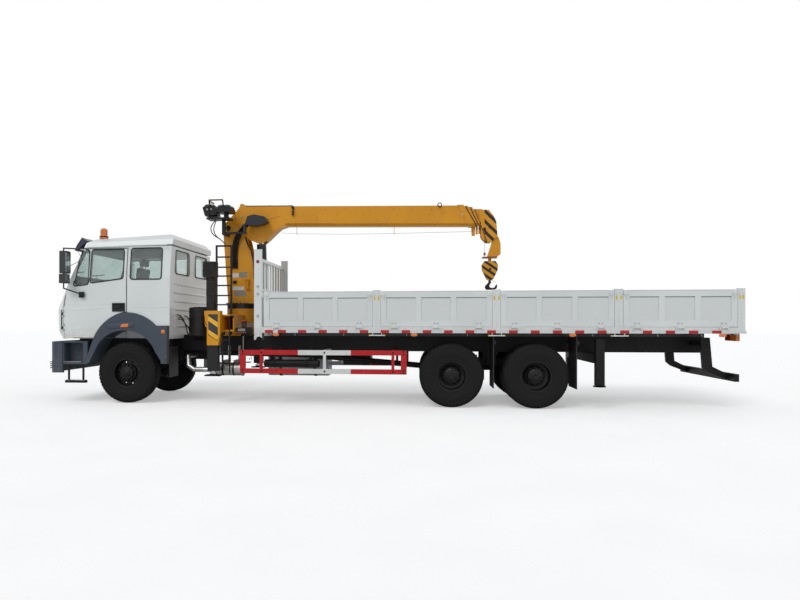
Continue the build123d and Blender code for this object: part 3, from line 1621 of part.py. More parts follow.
# winch drum between the boom's cheeks
with BuildPart() as winch:
    with BuildSketch(boom_plane.offset(boom_half - cheek)):
        with Locations((298, 181)):
            Circle(150)
    extrude(amount=-2 * (boom_half - cheek))
    with BuildSketch(boom_plane.offset(boom_half - cheek - 16)):
        with Locations((298, 181)):
            Circle(200)
            Circle(105, mode=Mode.SUBTRACT)
    extrude(amount=-2 * (boom_half - cheek - 16), mode=Mode.SUBTRACT)

# stow arm under the head, hanging from a pin, that holds the hook block while travelling
block_x = 2092.0
block_pin_z = 2695.0
block_pin_radius = 12.0
hook_shank_radius = 22.0
with BuildPart() as stow_arm:
    with BuildSketch(Plane.XZ.offset(70)):
        Polygon(
            (2150, 3090),
            (2180, 3168),
            (2222, 3172),
            (2262, 3100),
            (2290, 3000),
            (2290, 2800),
            (2225, 2754),
            (2043, 2754),
            align=None,
        )
    extrude(amount=-140)
    with BuildSketch(Plane.XZ.offset(58)):
        Polygon((2100, 2770), (2270, 2810), (2270, 3000), (2190, 3200), (2130, 3060), align=None)
    extrude(amount=-116, mode=Mode.SUBTRACT)
    with Locations((2088, 0, 2742)):
        Box(273, 190, 24)
    for lug_y in (27, -27):
        with Locations((block_x, lug_y, 2698)):
            Box(56, 14, 66)
    with BuildSketch(Plane.XZ.offset(36)):
        with Locations((block_x, block_pin_z)):
            Circle(block_pin_radius)
    extrude(amount=-72)
    with BuildSketch(boom_plane.offset(80)):
        with Locations((5200, -140)):
            Circle(head_pin_radius + fit)
    extrude(amount=-160, mode=Mode.SUBTRACT)
stow_arm.part.label = "stow_arm"
export_step(stow_arm.part, "parts/stow_arm.step")

# hook block: two cheeks round its sheave, hanging from the arm's pin
with BuildPart() as hook_block:
    with BuildSketch(Plane.XZ.offset(62)):
        Polygon(
            (1990, 2672),
            (1941, 2600),
            (1950, 2500),
            (2030, 2330),
            (2060, 2308),
            (2124, 2308),
            (2160, 2330),
            (2236, 2500),
            (2243, 2600),
            (2196, 2672),
            align=None,
        )
    extrude(amount=-124)
    with Locations((block_x, 0, 2600)):
        Box(400, 84, 500, mode=Mode.SUBTRACT)
    with BuildSketch(Plane.XZ.offset(42)):
        with Locations((block_x, 2540)):
            Circle(105)
    extrude(amount=-84)
    with Locations((block_x, 0, 2650)):
        Box(50, 28, 130)
    with Locations((block_x, 0, 2329)):
        Box(64, 90, 42)
        Cylinder(hook_shank_radius + fit, 60, mode=Mode.SUBTRACT)
    with BuildSketch(Plane.XZ.offset(20)):
        with Locations((block_x, block_pin_z)):
            Circle(block_pin_radius + fit)
    extrude(amount=-40, mode=Mode.SUBTRACT)
hook_block.part.label = "hook_block"
export_step(hook_block.part, "parts/hook_block.step")

with BuildPart() as hook:
    with Locations((block_x, 0, 2262)):
        Cylinder(hook_shank_radius, 80, align=(Align.CENTER, Align.CENTER, Align.MIN))
    with BuildSketch(Plane.XZ.offset(26)):
        with BuildLine():
            Polyline(
                (2072, 2300),
                (2066, 2262),
                (2010, 2205),
                (2000, 2160),
                (2030, 2124),
                (2180, 2124),
                (2222, 2150),
                (2232, 2195),
                (2218, 2234),
                (2200, 2200),
                (2180, 2168),
                (2130, 2158),
                (2090, 2176),
                (2086, 2208),
                (2118, 2262),
                (2112, 2300),
                close=True,
            )
        make_face()
    extrude(amount=-52)
hook.part.label = "hook"
export_step(hook.part, "parts/hook.step")

# nodes that gather pieces fixed together on one body and finished alike
for node_name, pieces in (
    ("chassis_frame", (ladder_frame, rear_underrun, rear_outriggers)),
    ("driveline", (engine_block, prop_shaft, front_axle, leaf_springs, rear_axles)),
    ("fenders", (wheel_fenders, bumper, mudflaps)),
    ("cab_trim", (grille, sun_visor)),
    ("lamps", (head_lamps, tail_lamps, beacon)),
    ("cab_dash", (dash_panel, steering_wheel)),
    ("tanks_intake", (intake_stack, tanks)),
    ("bed_frame", (bed_floor, headboard)),
    ("ladders_controls", (ladders, crane_controls, hanging_steps)),
    ("crane_column", (slew_ring, column_weldment)),
    ("operator_seat", (seat_frame, hose_guard)),
    ("boom_section_1", (base_section, winch)),
    ("boom_section_4", (head_section, head_sheave)),
):
    with BuildPart() as node:
        for piece in pieces:
            add(piece.part)
    node.part.label = node_name
    export_step(node.part, "parts/" + node_name + ".step")
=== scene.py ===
import math
import bpy
from mathutils import Matrix, Vector


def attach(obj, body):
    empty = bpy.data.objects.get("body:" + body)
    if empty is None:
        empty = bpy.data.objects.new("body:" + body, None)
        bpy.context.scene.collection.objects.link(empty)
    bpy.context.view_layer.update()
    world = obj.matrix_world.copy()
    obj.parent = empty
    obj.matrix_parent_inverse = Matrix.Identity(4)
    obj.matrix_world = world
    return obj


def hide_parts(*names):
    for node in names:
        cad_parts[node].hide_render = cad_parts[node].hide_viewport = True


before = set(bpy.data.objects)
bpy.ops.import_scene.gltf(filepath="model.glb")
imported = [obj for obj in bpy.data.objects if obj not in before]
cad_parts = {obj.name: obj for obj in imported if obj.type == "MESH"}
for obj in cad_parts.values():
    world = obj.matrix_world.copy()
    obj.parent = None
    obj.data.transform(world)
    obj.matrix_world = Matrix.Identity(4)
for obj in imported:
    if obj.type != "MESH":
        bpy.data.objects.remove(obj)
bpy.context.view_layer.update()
bpy.context.scene.view_settings.view_transform = "Standard"


# Camera: stands 12 m off the truck's left side, a little behind the middle and turned
# slightly towards the cab, at a man's eye height.
bpy.ops.object.select_all(action="DESELECT")
bpy.ops.object.camera_add(location=(0.734, -13.23, 1.53), rotation=(math.radians(90), 0, math.radians(6.6)))
camera = bpy.context.object
camera.name = "photo_camera"
camera.data.lens = 30.47
camera.data.shift_x = 0.075
camera.data.shift_y = 0.026
bpy.context.scene.camera = camera


# Hydraulic hoses and cables: braided rubber hose between the column, the boom's heel, the operator's stand and
# the tanks. Each is clamped at both ends and sags between them, drawn as a fixed line through given points.
def linear(code):
    """An sRGB hex colour as linear red, green, blue and alpha."""
    parts = [int(code[i:i + 2], 16) / 255 for i in (1, 3, 5)]
    return [c / 12.92 if c <= 0.04045 else ((c + 0.055) / 1.055) ** 2.4 for c in parts] + [1]


def add_node(tree, kind, settings=None, links=None):
    """Adds a node, sets its properties and sockets, and links the sockets that links names."""
    node = tree.nodes.new(kind)
    for name, value in (settings or {}).items():
        if isinstance(name, str) and hasattr(node, name):
            setattr(node, name, value)
        else:
            node.inputs[name].default_value = value
    for name, source in (links or {}).items():
        tree.links.new(source, node.inputs[name])
    return node


def maths(tree, operation, *values):
    """The result of a sum on numbers and on other nodes' outputs."""
    given = dict(enumerate(values))
    numbers = {i: value for i, value in given.items() if isinstance(value, (int, float))}
    outputs = {i: value for i, value in given.items() if i not in numbers}
    return add_node(tree, "ShaderNodeMath", {"operation": operation, **numbers}, outputs).outputs[0]


def place_in(tree):
    """Where the shaded point lies on its piece."""
    return tree.nodes["place"].outputs["Object"]


def part_of(tree, axis, vector=None):
    """The x, y or z, by its number, of a vector or of the place itself."""
    return add_node(
        tree, "ShaderNodeSeparateXYZ", None, {0: place_in(tree) if vector is None else vector}
    ).outputs[axis]


def ramp(tree, value, low, high, at_low=0.0, at_high=1.0):
    """Goes from at_low to at_high as value goes from low to high."""
    ends = {"From Min": low, "From Max": high, "To Min": at_low, "To Max": at_high}
    return add_node(tree, "ShaderNodeMapRange", ends, {"Value": value}).outputs[0]


def colour_by(tree, colour):
    """Lets a colour made by other nodes be the finish's own."""
    tree.links.new(colour, tree.nodes["shader"].inputs["Base Color"])


def start_finish(name, colour, roughness, metallic=0.0, mottle=None, **sockets):
    """A material and its tree; mottle gives two shades and the size in mm of the patches in
    which they alternate. The nodes shader and place hold the surface and where it lies."""
    material = bpy.data.materials.new(name)
    material.use_nodes = True
    tree = material.node_tree
    tree.nodes.clear()
    shader = add_node(tree, "ShaderNodeBsdfPrincipled", {"Base Color": linear(colour)})
    shader.name = "shader"
    shader.inputs["Roughness"].default_value = roughness
    shader.inputs["Metallic"].default_value = metallic
    for socket, value in sockets.items():
        shader.inputs[socket.replace("_", " ").title().replace("Ior", "IOR")].default_value = value
    add_node(tree, "ShaderNodeOutputMaterial", None, {"Surface": shader.outputs[0]})
    add_node(tree, "ShaderNodeTexCoord").name = "place"
    if mottle:
        first, second, *spread = mottle
        colour_by(tree, blend_colours(tree, patches(tree, *spread), first, second))
    return material, tree


def patches(tree, size_mm, low=0.35, high=0.65, detail=4.0):
    """Soft uneven patches of about that size, 0 in one kind and 1 in the other."""
    noise = add_node(
        tree, "ShaderNodeTexNoise", {"Scale": 1000 / size_mm, "Detail": detail}, {"Vector": place_in(tree)}
    )
    return ramp(tree, noise.outputs[0], low, high)


def blend_colours(tree, amount, first, second):
    """Goes from the first colour to the second as amount goes from 0 to 1."""
    mix = add_node(tree, "ShaderNodeMix", {"data_type": "RGBA"}, {0: amount})
    for socket, colour in ((6, first), (7, second)):
        if isinstance(colour, str):
            mix.inputs[socket].default_value = linear(colour)
        else:
            tree.links.new(colour, mix.inputs[socket])
    return mix.outputs[2]


def relief(tree, height, depth_mm, strength=1.0):
    """Raises the surface where height is 1, by depth_mm."""
    bump = add_node(
        tree, "ShaderNodeBump", {"Strength": strength, "Distance": depth_mm / 1000}, {"Height": height}
    )
    tree.links.new(bump.outputs[0], tree.nodes["shader"].inputs["Normal"])


# black braided hose: matt rubber with a faint wrapped-cloth pattern 3 mm across
hose_rubber, tree = start_finish(
    "hose_rubber", "#0C0C0D", 0.62, mottle=("#0B0B0C", "#17181A", 90), specular_ior_level=0.25
)
relief(tree, patches(tree, 3, 0.3, 0.7, 1.0), 0.4, 0.6)


def lay_hose(name, body, diameter, points, finish=hose_rubber):
    """A hose along a smooth line with points as its control points, clamped at both ends."""
    bpy.ops.object.select_all(action="DESELECT")
    bpy.ops.curve.primitive_nurbs_path_add(location=(0, 0, 0))
    hose = bpy.context.object
    hose.name = name
    curve = hose.data
    curve.splines.clear()
    spline = curve.splines.new("NURBS")
    spline.points.add(len(points) - 1)
    for control, point in zip(spline.points, points):
        control.co = (*point, 1)
    spline.order_u = 3
    spline.use_endpoint_u = True
    spline.resolution_u = 10
    curve.bevel_depth = 0
    line = bpy.data.meshes.new_from_object(hose)
    bpy.data.meshes.remove(line)
    curve.bevel_depth = diameter / 2
    curve.bevel_resolution = 3
    curve.use_fill_caps = True
    curve.materials.append(finish)
    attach(hose, body)
    return hose


# five hoses from the boom's heel, in a bundle down the column's left cheek
for hose_index in range(5):
    offset = hose_index * 0.026
    lay_hose(
        f"column_hose_{hose_index + 1}", "crane", 0.022,
        (
            (-2.56 - offset, -0.306, 3.4), (-2.6 - offset, -0.306, 3.34), (-2.69 - offset, -0.29, 3.25),
            (-2.76 - offset, -0.25, 3.13), (-2.8 - offset, -0.215, 2.99), (-2.815 - offset, -0.206, 2.84),
            (-2.815 - offset, -0.204, 2.69), (-2.81 - offset, -0.2, 2.56)
        )
    )
# two loops under the operator's stand, and the cables down the column's rear edge
for loop_index, bulge in enumerate((0.0, 0.045)):
    lay_hose(
        f"stand_hose_{loop_index + 1}", "crane", 0.018,
        (
            (-3.175, -0.42 - bulge, 3.47), (-3.21 - bulge, -0.41 - bulge, 3.4),
            (-3.24 - bulge, -0.38 - bulge, 3.31), (-3.225 - bulge, -0.33, 3.22), (-3.18, -0.27, 3.16),
            (-3.11, -0.215, 3.11), (-3.06, -0.196, 3.04)
        )
    )
for cable_index in range(3):
    side = -0.2 - cable_index * 0.018
    lay_hose(
        f"edge_hose_{cable_index + 1}", "crane", 0.014,
        (
            (-2.64, side, 3.18), (-2.61 - 0.01 * cable_index, side, 3.09), (-2.56, side - 0.01, 2.96),
            (-2.5 + 0.012 * cable_index, side, 2.8), (-2.48, side, 2.64), (-2.47, side, 2.48),
            (-2.478, -0.196, 2.35)
        )
    )
# air and fuel hoses between the cab's back and the frame
air_lines = (
    # x, y, top z, drop of the loop, far x
    (-3.76, -0.87, 1.64, 0.16, -3.52),
    (-3.74, -0.82, 1.6, 0.22, -3.56),
    (-3.72, -0.905, 1.56, 0.12, -3.48),
    (-3.73, -0.56, 1.62, 0.24, -3.43),
)
for line_index, (line_x, line_y, top_z, droop, far_x) in enumerate(air_lines):
    lay_hose(
        f"air_hose_{line_index + 1}", "root", 0.02,
        (
            (line_x - 0.045, line_y, top_z), (line_x + 0.02, line_y, top_z + 0.005),
            (line_x + 0.07, line_y, top_z - droop * 0.4), (line_x + 0.1, line_y + 0.03, top_z - droop),
            (far_x - 0.08, line_y + 0.08, top_z - droop * 1.4), (far_x - 0.06, line_y + 0.2, 1.23),
            (far_x - 0.02, -0.52, 1.17), (far_x, -0.44, 1.16)
        )
    )


# Studio: a pale floor under the wheels, white surroundings and one broad soft lamp high on
# the camera's side. The floor's glow is for the camera alone, so the truck's shadow stays soft.
bpy.ops.object.select_all(action="DESELECT")
bpy.ops.mesh.primitive_plane_add(size=160, location=(0, 0, 0))
floor = bpy.context.object
floor.name = "studio_floor"
floor_paint, tree = start_finish("studio_floor_paint", "#F4F4F4", 0.9)
rays = add_node(tree, "ShaderNodeLightPath")
glow = maths(tree, "MULTIPLY", rays.outputs["Is Camera Ray"], 0.35)
shader = tree.nodes["shader"]
shader.inputs["Emission Color"].default_value = linear("#FFFFFF")
tree.links.new(glow, shader.inputs["Emission Strength"])
colour_by(tree, blend_colours(tree, patches(tree, 900), "#F2F2F2", "#F6F6F6"))
floor.data.materials.append(floor_paint)

world = bpy.data.worlds.new("studio_surround")
bpy.context.scene.world = world
world.use_nodes = True
tree = world.node_tree
tree.nodes.clear()
rays = add_node(tree, "ShaderNodeLightPath")
through = maths(tree, "MAXIMUM", rays.outputs["Is Glossy Ray"], rays.outputs["Is Transmission Ray"])
seen = maths(tree, "MAXIMUM", rays.outputs["Is Camera Ray"], through)
soft = add_node(tree, "ShaderNodeBackground", {"Color": linear("#F6F9FC"), "Strength": 0.44})
white = add_node(tree, "ShaderNodeBackground", {"Color": linear("#FFFFFF"), "Strength": 1.0})
both = add_node(tree, "ShaderNodeMixShader", None, {0: seen, 1: soft.outputs[0], 2: white.outputs[0]})
add_node(tree, "ShaderNodeOutputWorld", None, {"Surface": both.outputs[0]})

for lamp_name, strength, spread, direction in (
    ("key_lamp", 0.95, 0.5, (0.3, 0.72, -0.7)), ("fill_lamp", 0.25, 1.2, (-0.75, 0.55, -0.25))
):
    bpy.ops.object.select_all(action="DESELECT")
    bpy.ops.object.light_add(type="SUN", location=(0, -8, 9))
    lamp = bpy.context.object
    lamp.name = lamp_name
    lamp.data.energy = strength
    lamp.data.angle = spread
    lamp.rotation_euler = Vector(direction).to_track_quat("-Z", "Y").to_euler()


# Chassis: two channel rails of pressed steel with riveted cross members, painted satin black
# and dulled by a film of road dust on what faces upwards.
def deselect_all():
    """Leaves object mode with nothing selected."""
    if bpy.context.mode != "OBJECT":
        bpy.ops.object.mode_set(mode="OBJECT")
    bpy.ops.object.select_all(action="DESELECT")


def moved(spot, degrees, axis):
    """A turn by degrees about an axis, then a move to the spot."""
    return Matrix.Translation(spot) @ Matrix.Rotation(math.radians(degrees), 4, axis)


def choose(piece):
    """Makes a piece the only selected and the active one."""
    deselect_all()
    piece.select_set(True)
    bpy.context.view_layer.objects.active = piece


def smooth_off(piece):
    """Leaves edit mode and shades the piece smooth all over."""
    choose(piece)
    bpy.ops.object.shade_smooth()


def start_block(name, low, high):
    """A block between two corners, to be shaped in edit mode."""
    deselect_all()
    middle = [(a + b) / 2 for a, b in zip(low, high)]
    bpy.ops.mesh.primitive_cube_add(size=1, location=middle)
    piece = bpy.context.object
    piece.name = name
    piece.scale = [b - a for a, b in zip(low, high)]
    bpy.ops.object.transform_apply(location=True, rotation=True, scale=True)
    return piece


def start_drum(name, centre, axis, radius, length, sides=32):
    """A drum along axis, its near end at centre, to be shaped in edit mode."""
    deselect_all()
    bpy.ops.mesh.primitive_cylinder_add(
        vertices=sides, radius=radius, depth=length, location=(0, 0, length / 2)
    )
    piece = bpy.context.object
    piece.name = name
    bpy.ops.object.transform_apply(location=True, rotation=True, scale=True)
    turn = Vector((0, 0, 1)).rotation_difference(Vector(axis)).to_matrix().to_4x4()
    piece.data.transform(Matrix.Translation(centre) @ turn)
    return piece


def pick(piece, kind, test):
    """Goes into edit mode with only the faces, edges or points chosen for which test is true."""
    bpy.context.view_layer.objects.active = piece
    piece.select_set(True)
    bpy.ops.object.mode_set(mode="EDIT")
    bpy.ops.mesh.select_mode(type=kind)
    bpy.ops.mesh.select_all(action="DESELECT")
    bpy.ops.object.mode_set(mode="OBJECT")
    mesh = piece.data
    if kind == "FACE":
        for face in mesh.polygons:
            face.select = bool(test(face))
    elif kind == "EDGE":
        for edge in mesh.edges:
            edge.select = bool(test(mesh.vertices[edge.vertices[0]].co, mesh.vertices[edge.vertices[1]].co))
    else:
        for point in mesh.vertices:
            point.select = bool(test(point.co))
    bpy.ops.object.mode_set(mode="EDIT")


def round_off(piece, width, segments=2, angle=30):
    """Rounds the sharp edges with a bevel of that width and shades what is left smooth."""
    choose(piece)
    edge = piece.modifiers.new("edge", "BEVEL")
    edge.width = width
    edge.segments = segments
    edge.limit_method = "ANGLE"
    edge.angle_limit = math.radians(angle)
    bpy.ops.object.modifier_apply(modifier="edge")
    bpy.ops.object.shade_smooth_by_angle(angle=math.radians(angle + 5))


def soft_block(name, low, high, width, segments=2):
    """A block whose edges are rounded by that width."""
    piece = start_block(name, low, high)
    round_off(piece, width, segments)
    return piece


def soft_drum(name, centre, axis, radius, length, sides, width, segments=2):
    """A drum whose edges are rounded by that width."""
    piece = start_drum(name, centre, axis, radius, length, sides)
    round_off(piece, width, segments)
    return piece


def trim_corners(piece, across, width, segments):
    """Rounds the edges that run square to the two axes named in across."""
    level = [lambda a, b, axis=axis: abs(getattr(a, axis) - getattr(b, axis)) < 1e-5 for axis in across]
    pick(piece, "EDGE", lambda a, b: all(same(a, b) for same in level))
    bpy.ops.mesh.bevel(offset=width, segments=segments)


def press(piece, towards, *steps):
    """Presses the faces that look towards a direction in steps of (border, height)."""
    pick(piece, "FACE", lambda face: face.normal.dot(towards) > 0.9)
    for border, height in steps:
        bpy.ops.mesh.inset(thickness=border, depth=height)


def fix_on(piece, body, finish, slot):
    """Paints a finished piece and fixes it on the body that carries it."""
    deselect_all()
    piece.data.materials.clear()
    piece.data.materials.append(finish)
    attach(piece, body)


def paint_node(node, finish):
    """Gives a CAD node its finish."""
    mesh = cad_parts[node].data
    mesh.materials.clear()
    mesh.materials.append(finish)


def copy_of(piece, name, change):
    """A copy with its own mesh, moved by the matrix change; a mirrored one is turned right side out."""
    twin = piece.copy()
    twin.data = piece.data.copy()
    twin.name = name
    bpy.context.scene.collection.objects.link(twin)
    twin.data.transform(change)
    if change.determinant() < 0:
        twin.data.flip_normals()
    return twin


def join_up(name, pieces):
    """Joins like pieces on one body into one."""
    deselect_all()
    for piece in pieces:
        piece.select_set(True)
    bpy.context.view_layer.objects.active = pieces[0]
    if len(pieces) > 1:
        bpy.ops.object.join()
    whole = bpy.context.object
    whole.name = name
    return whole


def assemble(name, pieces, body, finish, slot):
    """Joins like pieces into one, paints it and fixes it on its body."""
    whole = join_up(name, pieces)
    fix_on(whole, body, finish, slot)
    return whole


def hex_heads(name, places, axis, across, height, body, finish, slot):
    """Hexagon heads on washers, standing along axis at each place."""
    washer = start_drum(f"{name}_washer", (0, 0, 0), axis, across * 0.78, height * 0.18, 16)
    head = soft_drum(
        f"{name}_head", Vector(axis) * height * 0.18, axis, across * 0.577, height * 0.82, 6, height * 0.1, 1
    )
    model = join_up(f"{name}_model", [washer, head])
    copies = [copy_of(model, f"{name}_{i}", Matrix.Translation(place)) for i, place in enumerate(places)]
    bpy.data.objects.remove(model)
    return assemble(name, copies, body, finish, slot)


MIRROR_Y = Matrix.Scale(-1, 4, (0, 1, 0))


def mirrored(piece, name, body, finish, slot):
    """The same piece on the truck's right side."""
    fix_on(copy_of(piece, name, MIRROR_Y), body, finish, slot)


def fix_both(piece, right_name, body, finish, slot, right_body=None):
    """Fixes a single piece on its body and its mirrored copy on the truck's right side."""
    fix_on(piece, body, finish, slot)
    mirrored(piece, right_name, right_body or body, finish, slot)


def both_sides(name, pieces, body, finish, slot, right_body=None, number=""):
    """The assembled pieces on the truck's left side and their mirrored copy on its right."""
    whole = assemble(f"{name}_left{number}", pieces, body, finish, slot)
    mirrored(whole, f"{name}_right{number}", right_body or body, finish, slot)


def heads_both_sides(name, places, axis, across, height, body, finish, slot, right_body=None):
    """Rows of hexagon heads on the truck's left side and mirrored on its right."""
    row = hex_heads(f"{name}_left", places, axis, across, height, body, finish, slot)
    mirrored(row, f"{name}_right", right_body or body, finish, slot)


# satin black chassis paint: lets a little light along the edges, with grey dust on top faces
def upward_dust(tree, size_mm, share):
    """Dust that lies on faces looking upwards, in uneven patches; share is its strongest value."""
    normal = add_node(tree, "ShaderNodeNewGeometry").outputs["Normal"]
    flat = ramp(tree, part_of(tree, 2, normal), 0.1, 1.0, share * 0.25, share)
    return maths(tree, "MULTIPLY", flat, patches(tree, size_mm, 0.3, 0.7))


chassis_paint, tree = start_finish("chassis_paint", "#0B0B0C", 0.5, specular_ior_level=0.25)
colour_by(tree, blend_colours(tree, upward_dust(tree, 160, 0.55), "#0B0B0C", "#2E2B27"))
relief(tree, patches(tree, 6, 0.3, 0.7, 2.0), 0.3, 0.5)
casting_black, tree = start_finish("black_casting", "#0E0E0F", 0.6, specular_ior_level=0.25)
colour_by(tree, blend_colours(tree, upward_dust(tree, 120, 0.6), "#0E0E0F", "#302D28"))
relief(tree, patches(tree, 4, 0.3, 0.7, 3.0), 0.8, 0.8)
for node in ("chassis_frame", "rear_foot_left", "rear_foot_right"):
    paint_node(node, chassis_paint)
for node in ("driveline", "knuckle_left", "knuckle_right"):
    paint_node(node, casting_black)

# bolted joints of the cross members and hangers, in rows on both rails' webs
rail_low, rail_high = 0.956, 1.241
bolt_places = []
for cross_x in (-5.9, -5.45, -3.85, -3.3, -1.5, 0.3, 1.65, 2.04, 2.43, 4.6, 5.762):
    for bolt_x in (-0.045, 0.045):
        for bolt_z in (rail_low + 0.07, rail_high - 0.07):
            bolt_places.append((cross_x + bolt_x, -0.4305, bolt_z))
# names in capitals that end on a colour stand for a finish with its slot
CHASSIS_BLACK = (chassis_paint, "chassis_black")
heads_both_sides("rail_bolts", bolt_places, (0, -1, 0), 0.026, 0.016, "root", *CHASSIS_BLACK)

# brake chambers: round pressed-steel drums on brackets beside each axle, with a clamp band
chamber_table = (
    # x, y, z, radius, length
    (-4.5, -0.56, 0.7, 0.078, 0.15),
    (1.06, -0.42, 0.745, 0.088, 0.23),
    (3.014, -0.42, 0.745, 0.088, 0.23),
)
for chamber_index, (cx, cy, cz, radius, length) in enumerate(chamber_table):
    chamber = start_drum("brake_chamber", (cx, cy, cz), (0, 1, 0), radius, length, 28)
    pick(chamber, "FACE", lambda face: abs(face.normal.y) > 0.9)
    bpy.ops.mesh.inset(thickness=radius * 0.25, depth=radius * 0.18)
    bpy.ops.mesh.inset(thickness=radius * 0.45, depth=radius * 0.05)
    band = soft_drum("clamp_band", (cx, cy + length * 0.45, cz), (0, 1, 0), radius + 0.009, 0.022, 28, 0.004)
    round_off(chamber, 0.004)
    both_sides(
        "brake_chamber", [chamber, band], "root", casting_black, "driveline_black",
        number=f"_{chamber_index + 1}"
    )

# spring packs: the leaves' edges as thin plates, two clamps and four U-bolts to the pack
for pack_index, (spring_x, spring_z, leaf_count, half) in enumerate(
    ((-4.65, 0.535, 4, 0.8), (2.037, 0.7, 5, 0.7))
):
    parts = []
    for leaf in range(leaf_count):
        reach = half * (0.95 - 0.17 * leaf)
        parts.append(
            soft_block(
                "leaf", (spring_x - reach * 0.45, -0.4725, spring_z + 0.003 + 0.022 * leaf),
                (spring_x + reach * 0.45, -0.388, spring_z + 0.017 + 0.022 * leaf), 0.004
            )
        )
    for bolt_x in (-0.16, -0.07, 0.07, 0.16):
        for bolt_y in (-0.484, -0.376):
            parts.append(
                soft_drum(
                    "u_bolt", (spring_x + bolt_x, bolt_y, spring_z - 0.08), (0, 0, 1), 0.01, 0.24, 12, 0.002
                )
            )
        parts.append(
            soft_block(
                "u_bolt_bow", (spring_x + bolt_x - 0.01, -0.494, spring_z + 0.022 * leaf_count + 0.004),
                (spring_x + bolt_x + 0.01, -0.366, spring_z + 0.022 * leaf_count + 0.024), 0.006
            )
        )
    both_sides("spring_leaves", parts, "root", casting_black, "driveline_black", number=f"_{pack_index + 1}")


# Wheels: black rubber tyres with blocks cut across both shoulders, on ten-stud pressed steel
# wheels. The front wheels are dished inwards, the twin rear ones show a deep dish and a hub.
def start_turned(name, section, steps):
    """A round piece about the Y axis through the origin: a closed ring of (y, radius) points, spun."""
    deselect_all()
    bpy.ops.mesh.primitive_circle_add(vertices=len(section), radius=1)
    piece = bpy.context.object
    piece.name = name
    for point, (along, radius) in zip(piece.data.vertices, section):
        point.co = (radius, along, 0)
    bpy.ops.object.mode_set(mode="EDIT")
    bpy.ops.mesh.select_all(action="SELECT")
    bpy.ops.mesh.spin(steps=steps, angle=math.tau, center=(0, 0, 0), axis=(0, 1, 0))
    bpy.ops.mesh.select_all(action="SELECT")
    bpy.ops.mesh.remove_doubles(threshold=0.0002)
    bpy.ops.mesh.normals_make_consistent(inside=False)
    bpy.ops.object.mode_set(mode="OBJECT")
    return piece


tyre_radius = 0.5625
bead_radius = 0.262
half_section = (
    # distance from the middle, radius: from the bead over the side wall to the tread's middle
    (0.107, bead_radius),
    (0.119, 0.27),
    (0.129, 0.288),
    (0.126, 0.303),
    (0.137, 0.34),
    (0.144, 0.385),
    (0.145, 0.425),
    (0.1425, 0.468),
    (0.1385, 0.492),
    (0.1405, 0.497),
    (0.1345, 0.524),
    (0.123, 0.547),
    (0.11, 0.556),
    (0.078, 0.561),
    (0.075, 0.549),
    (0.063, 0.549),
    (0.06, 0.562),
    (0.008, tyre_radius),
    (0.006, 0.55),
)
tyre_section = [(-a, r) for a, r in half_section] + [(a, r) for a, r in reversed(half_section)]
tread_steps = 200


def tread_step(face):
    """Which of the spun steps a face belongs to."""
    return int(math.atan2(face.center.z, face.center.x) / math.tau * tread_steps + tread_steps * 1.5 - 0.5)


def shoulder_groove(face):
    """True on the strips across the shoulders that are pressed in between the blocks."""
    radius = math.hypot(face.center.x, face.center.z)
    shift = 0 if face.center.y < 0 else 2
    return 0.505 < radius < 0.5607 and abs(face.center.y) > 0.079 and (tread_step(face) + shift) % 4 == 0


def rib_notch(face):
    """True on the short notches that break up the two middle ribs."""
    radius = math.hypot(face.center.x, face.center.z)
    shift = 1 if face.center.y < 0 else 5
    return radius > 0.561 and abs(face.center.y) < 0.06 and (tread_step(face) + shift) % 8 == 0


tyre_model = start_turned("tyre_model", tyre_section, tread_steps)
pick(tyre_model, "FACE", shoulder_groove)
bpy.ops.mesh.extrude_region_shrink_fatten(TRANSFORM_OT_shrink_fatten={"value": -0.013})
pick(tyre_model, "FACE", rib_notch)
bpy.ops.mesh.extrude_region_shrink_fatten(TRANSFORM_OT_shrink_fatten={"value": -0.009})
choose(tyre_model)
bpy.ops.object.shade_smooth_by_angle(angle=math.radians(32))

# tread rubber: matt black, browner and dustier on the tread, fine moulded rings on the walls
wheel_places = {"front": -4.65, "rear_1": 1.312, "rear_2": 2.762}
tyre_rubber = {}
for place_name, axle_x in wheel_places.items():
    rubber, tree = start_finish(f"tyre_rubber_{place_name}", "#0E0E0E", 0.72, specular_ior_level=0.25)
    centred = add_node(
        tree, "ShaderNodeMapping", {"Location": (-axle_x, 0, -tyre_radius)}, {"Vector": place_in(tree)}
    )
    across, up = (part_of(tree, axis, centred.outputs[0]) for axis in (0, 2))
    squares = [maths(tree, "MULTIPLY", side, side) for side in (across, up)]
    radius = maths(tree, "SQRT", maths(tree, "ADD", *squares))
    dusty = maths(tree, "MULTIPLY", ramp(tree, radius, 0.5, 0.56, 0.0, 0.75), patches(tree, 70))
    colour_by(tree, blend_colours(tree, dusty, "#0E0E0E", "#211E1B"))
    ring_pitch_mm = 9
    rings = maths(tree, "SINE", maths(tree, "MULTIPLY", radius, math.tau * 1000 / ring_pitch_mm))
    relief(tree, rings, 0.25, 0.5)
    tyre_rubber[place_name] = rubber

wheel_black, tree = start_finish(
    "wheel_enamel", "#0A0A0B", 0.4, mottle=("#0A0A0B", "#191817", 60, 0.45, 0.75), specular_ior_level=0.3
)
stud_steel, tree = start_finish("phosphated_stud", "#161718", 0.5, 0.4, mottle=("#121314", "#2A2825", 12))

nut_base = start_drum("nut_base", (0, 0, 0), (0, 1, 0), 0.0185, 0.006, 18)
nut_head = start_drum("nut_head", (0, 0.006, 0), (0, 1, 0), 0.0165, 0.022, 6)
stud_tip = start_drum("stud_tip", (0, 0.028, 0), (0, 1, 0), 0.01, 0.014, 12)
for part in (nut_base, nut_head, stud_tip):
    round_off(part, 0.002, 1)
wheel_nut = join_up("wheel_nut_model", [nut_base, nut_head, stud_tip])


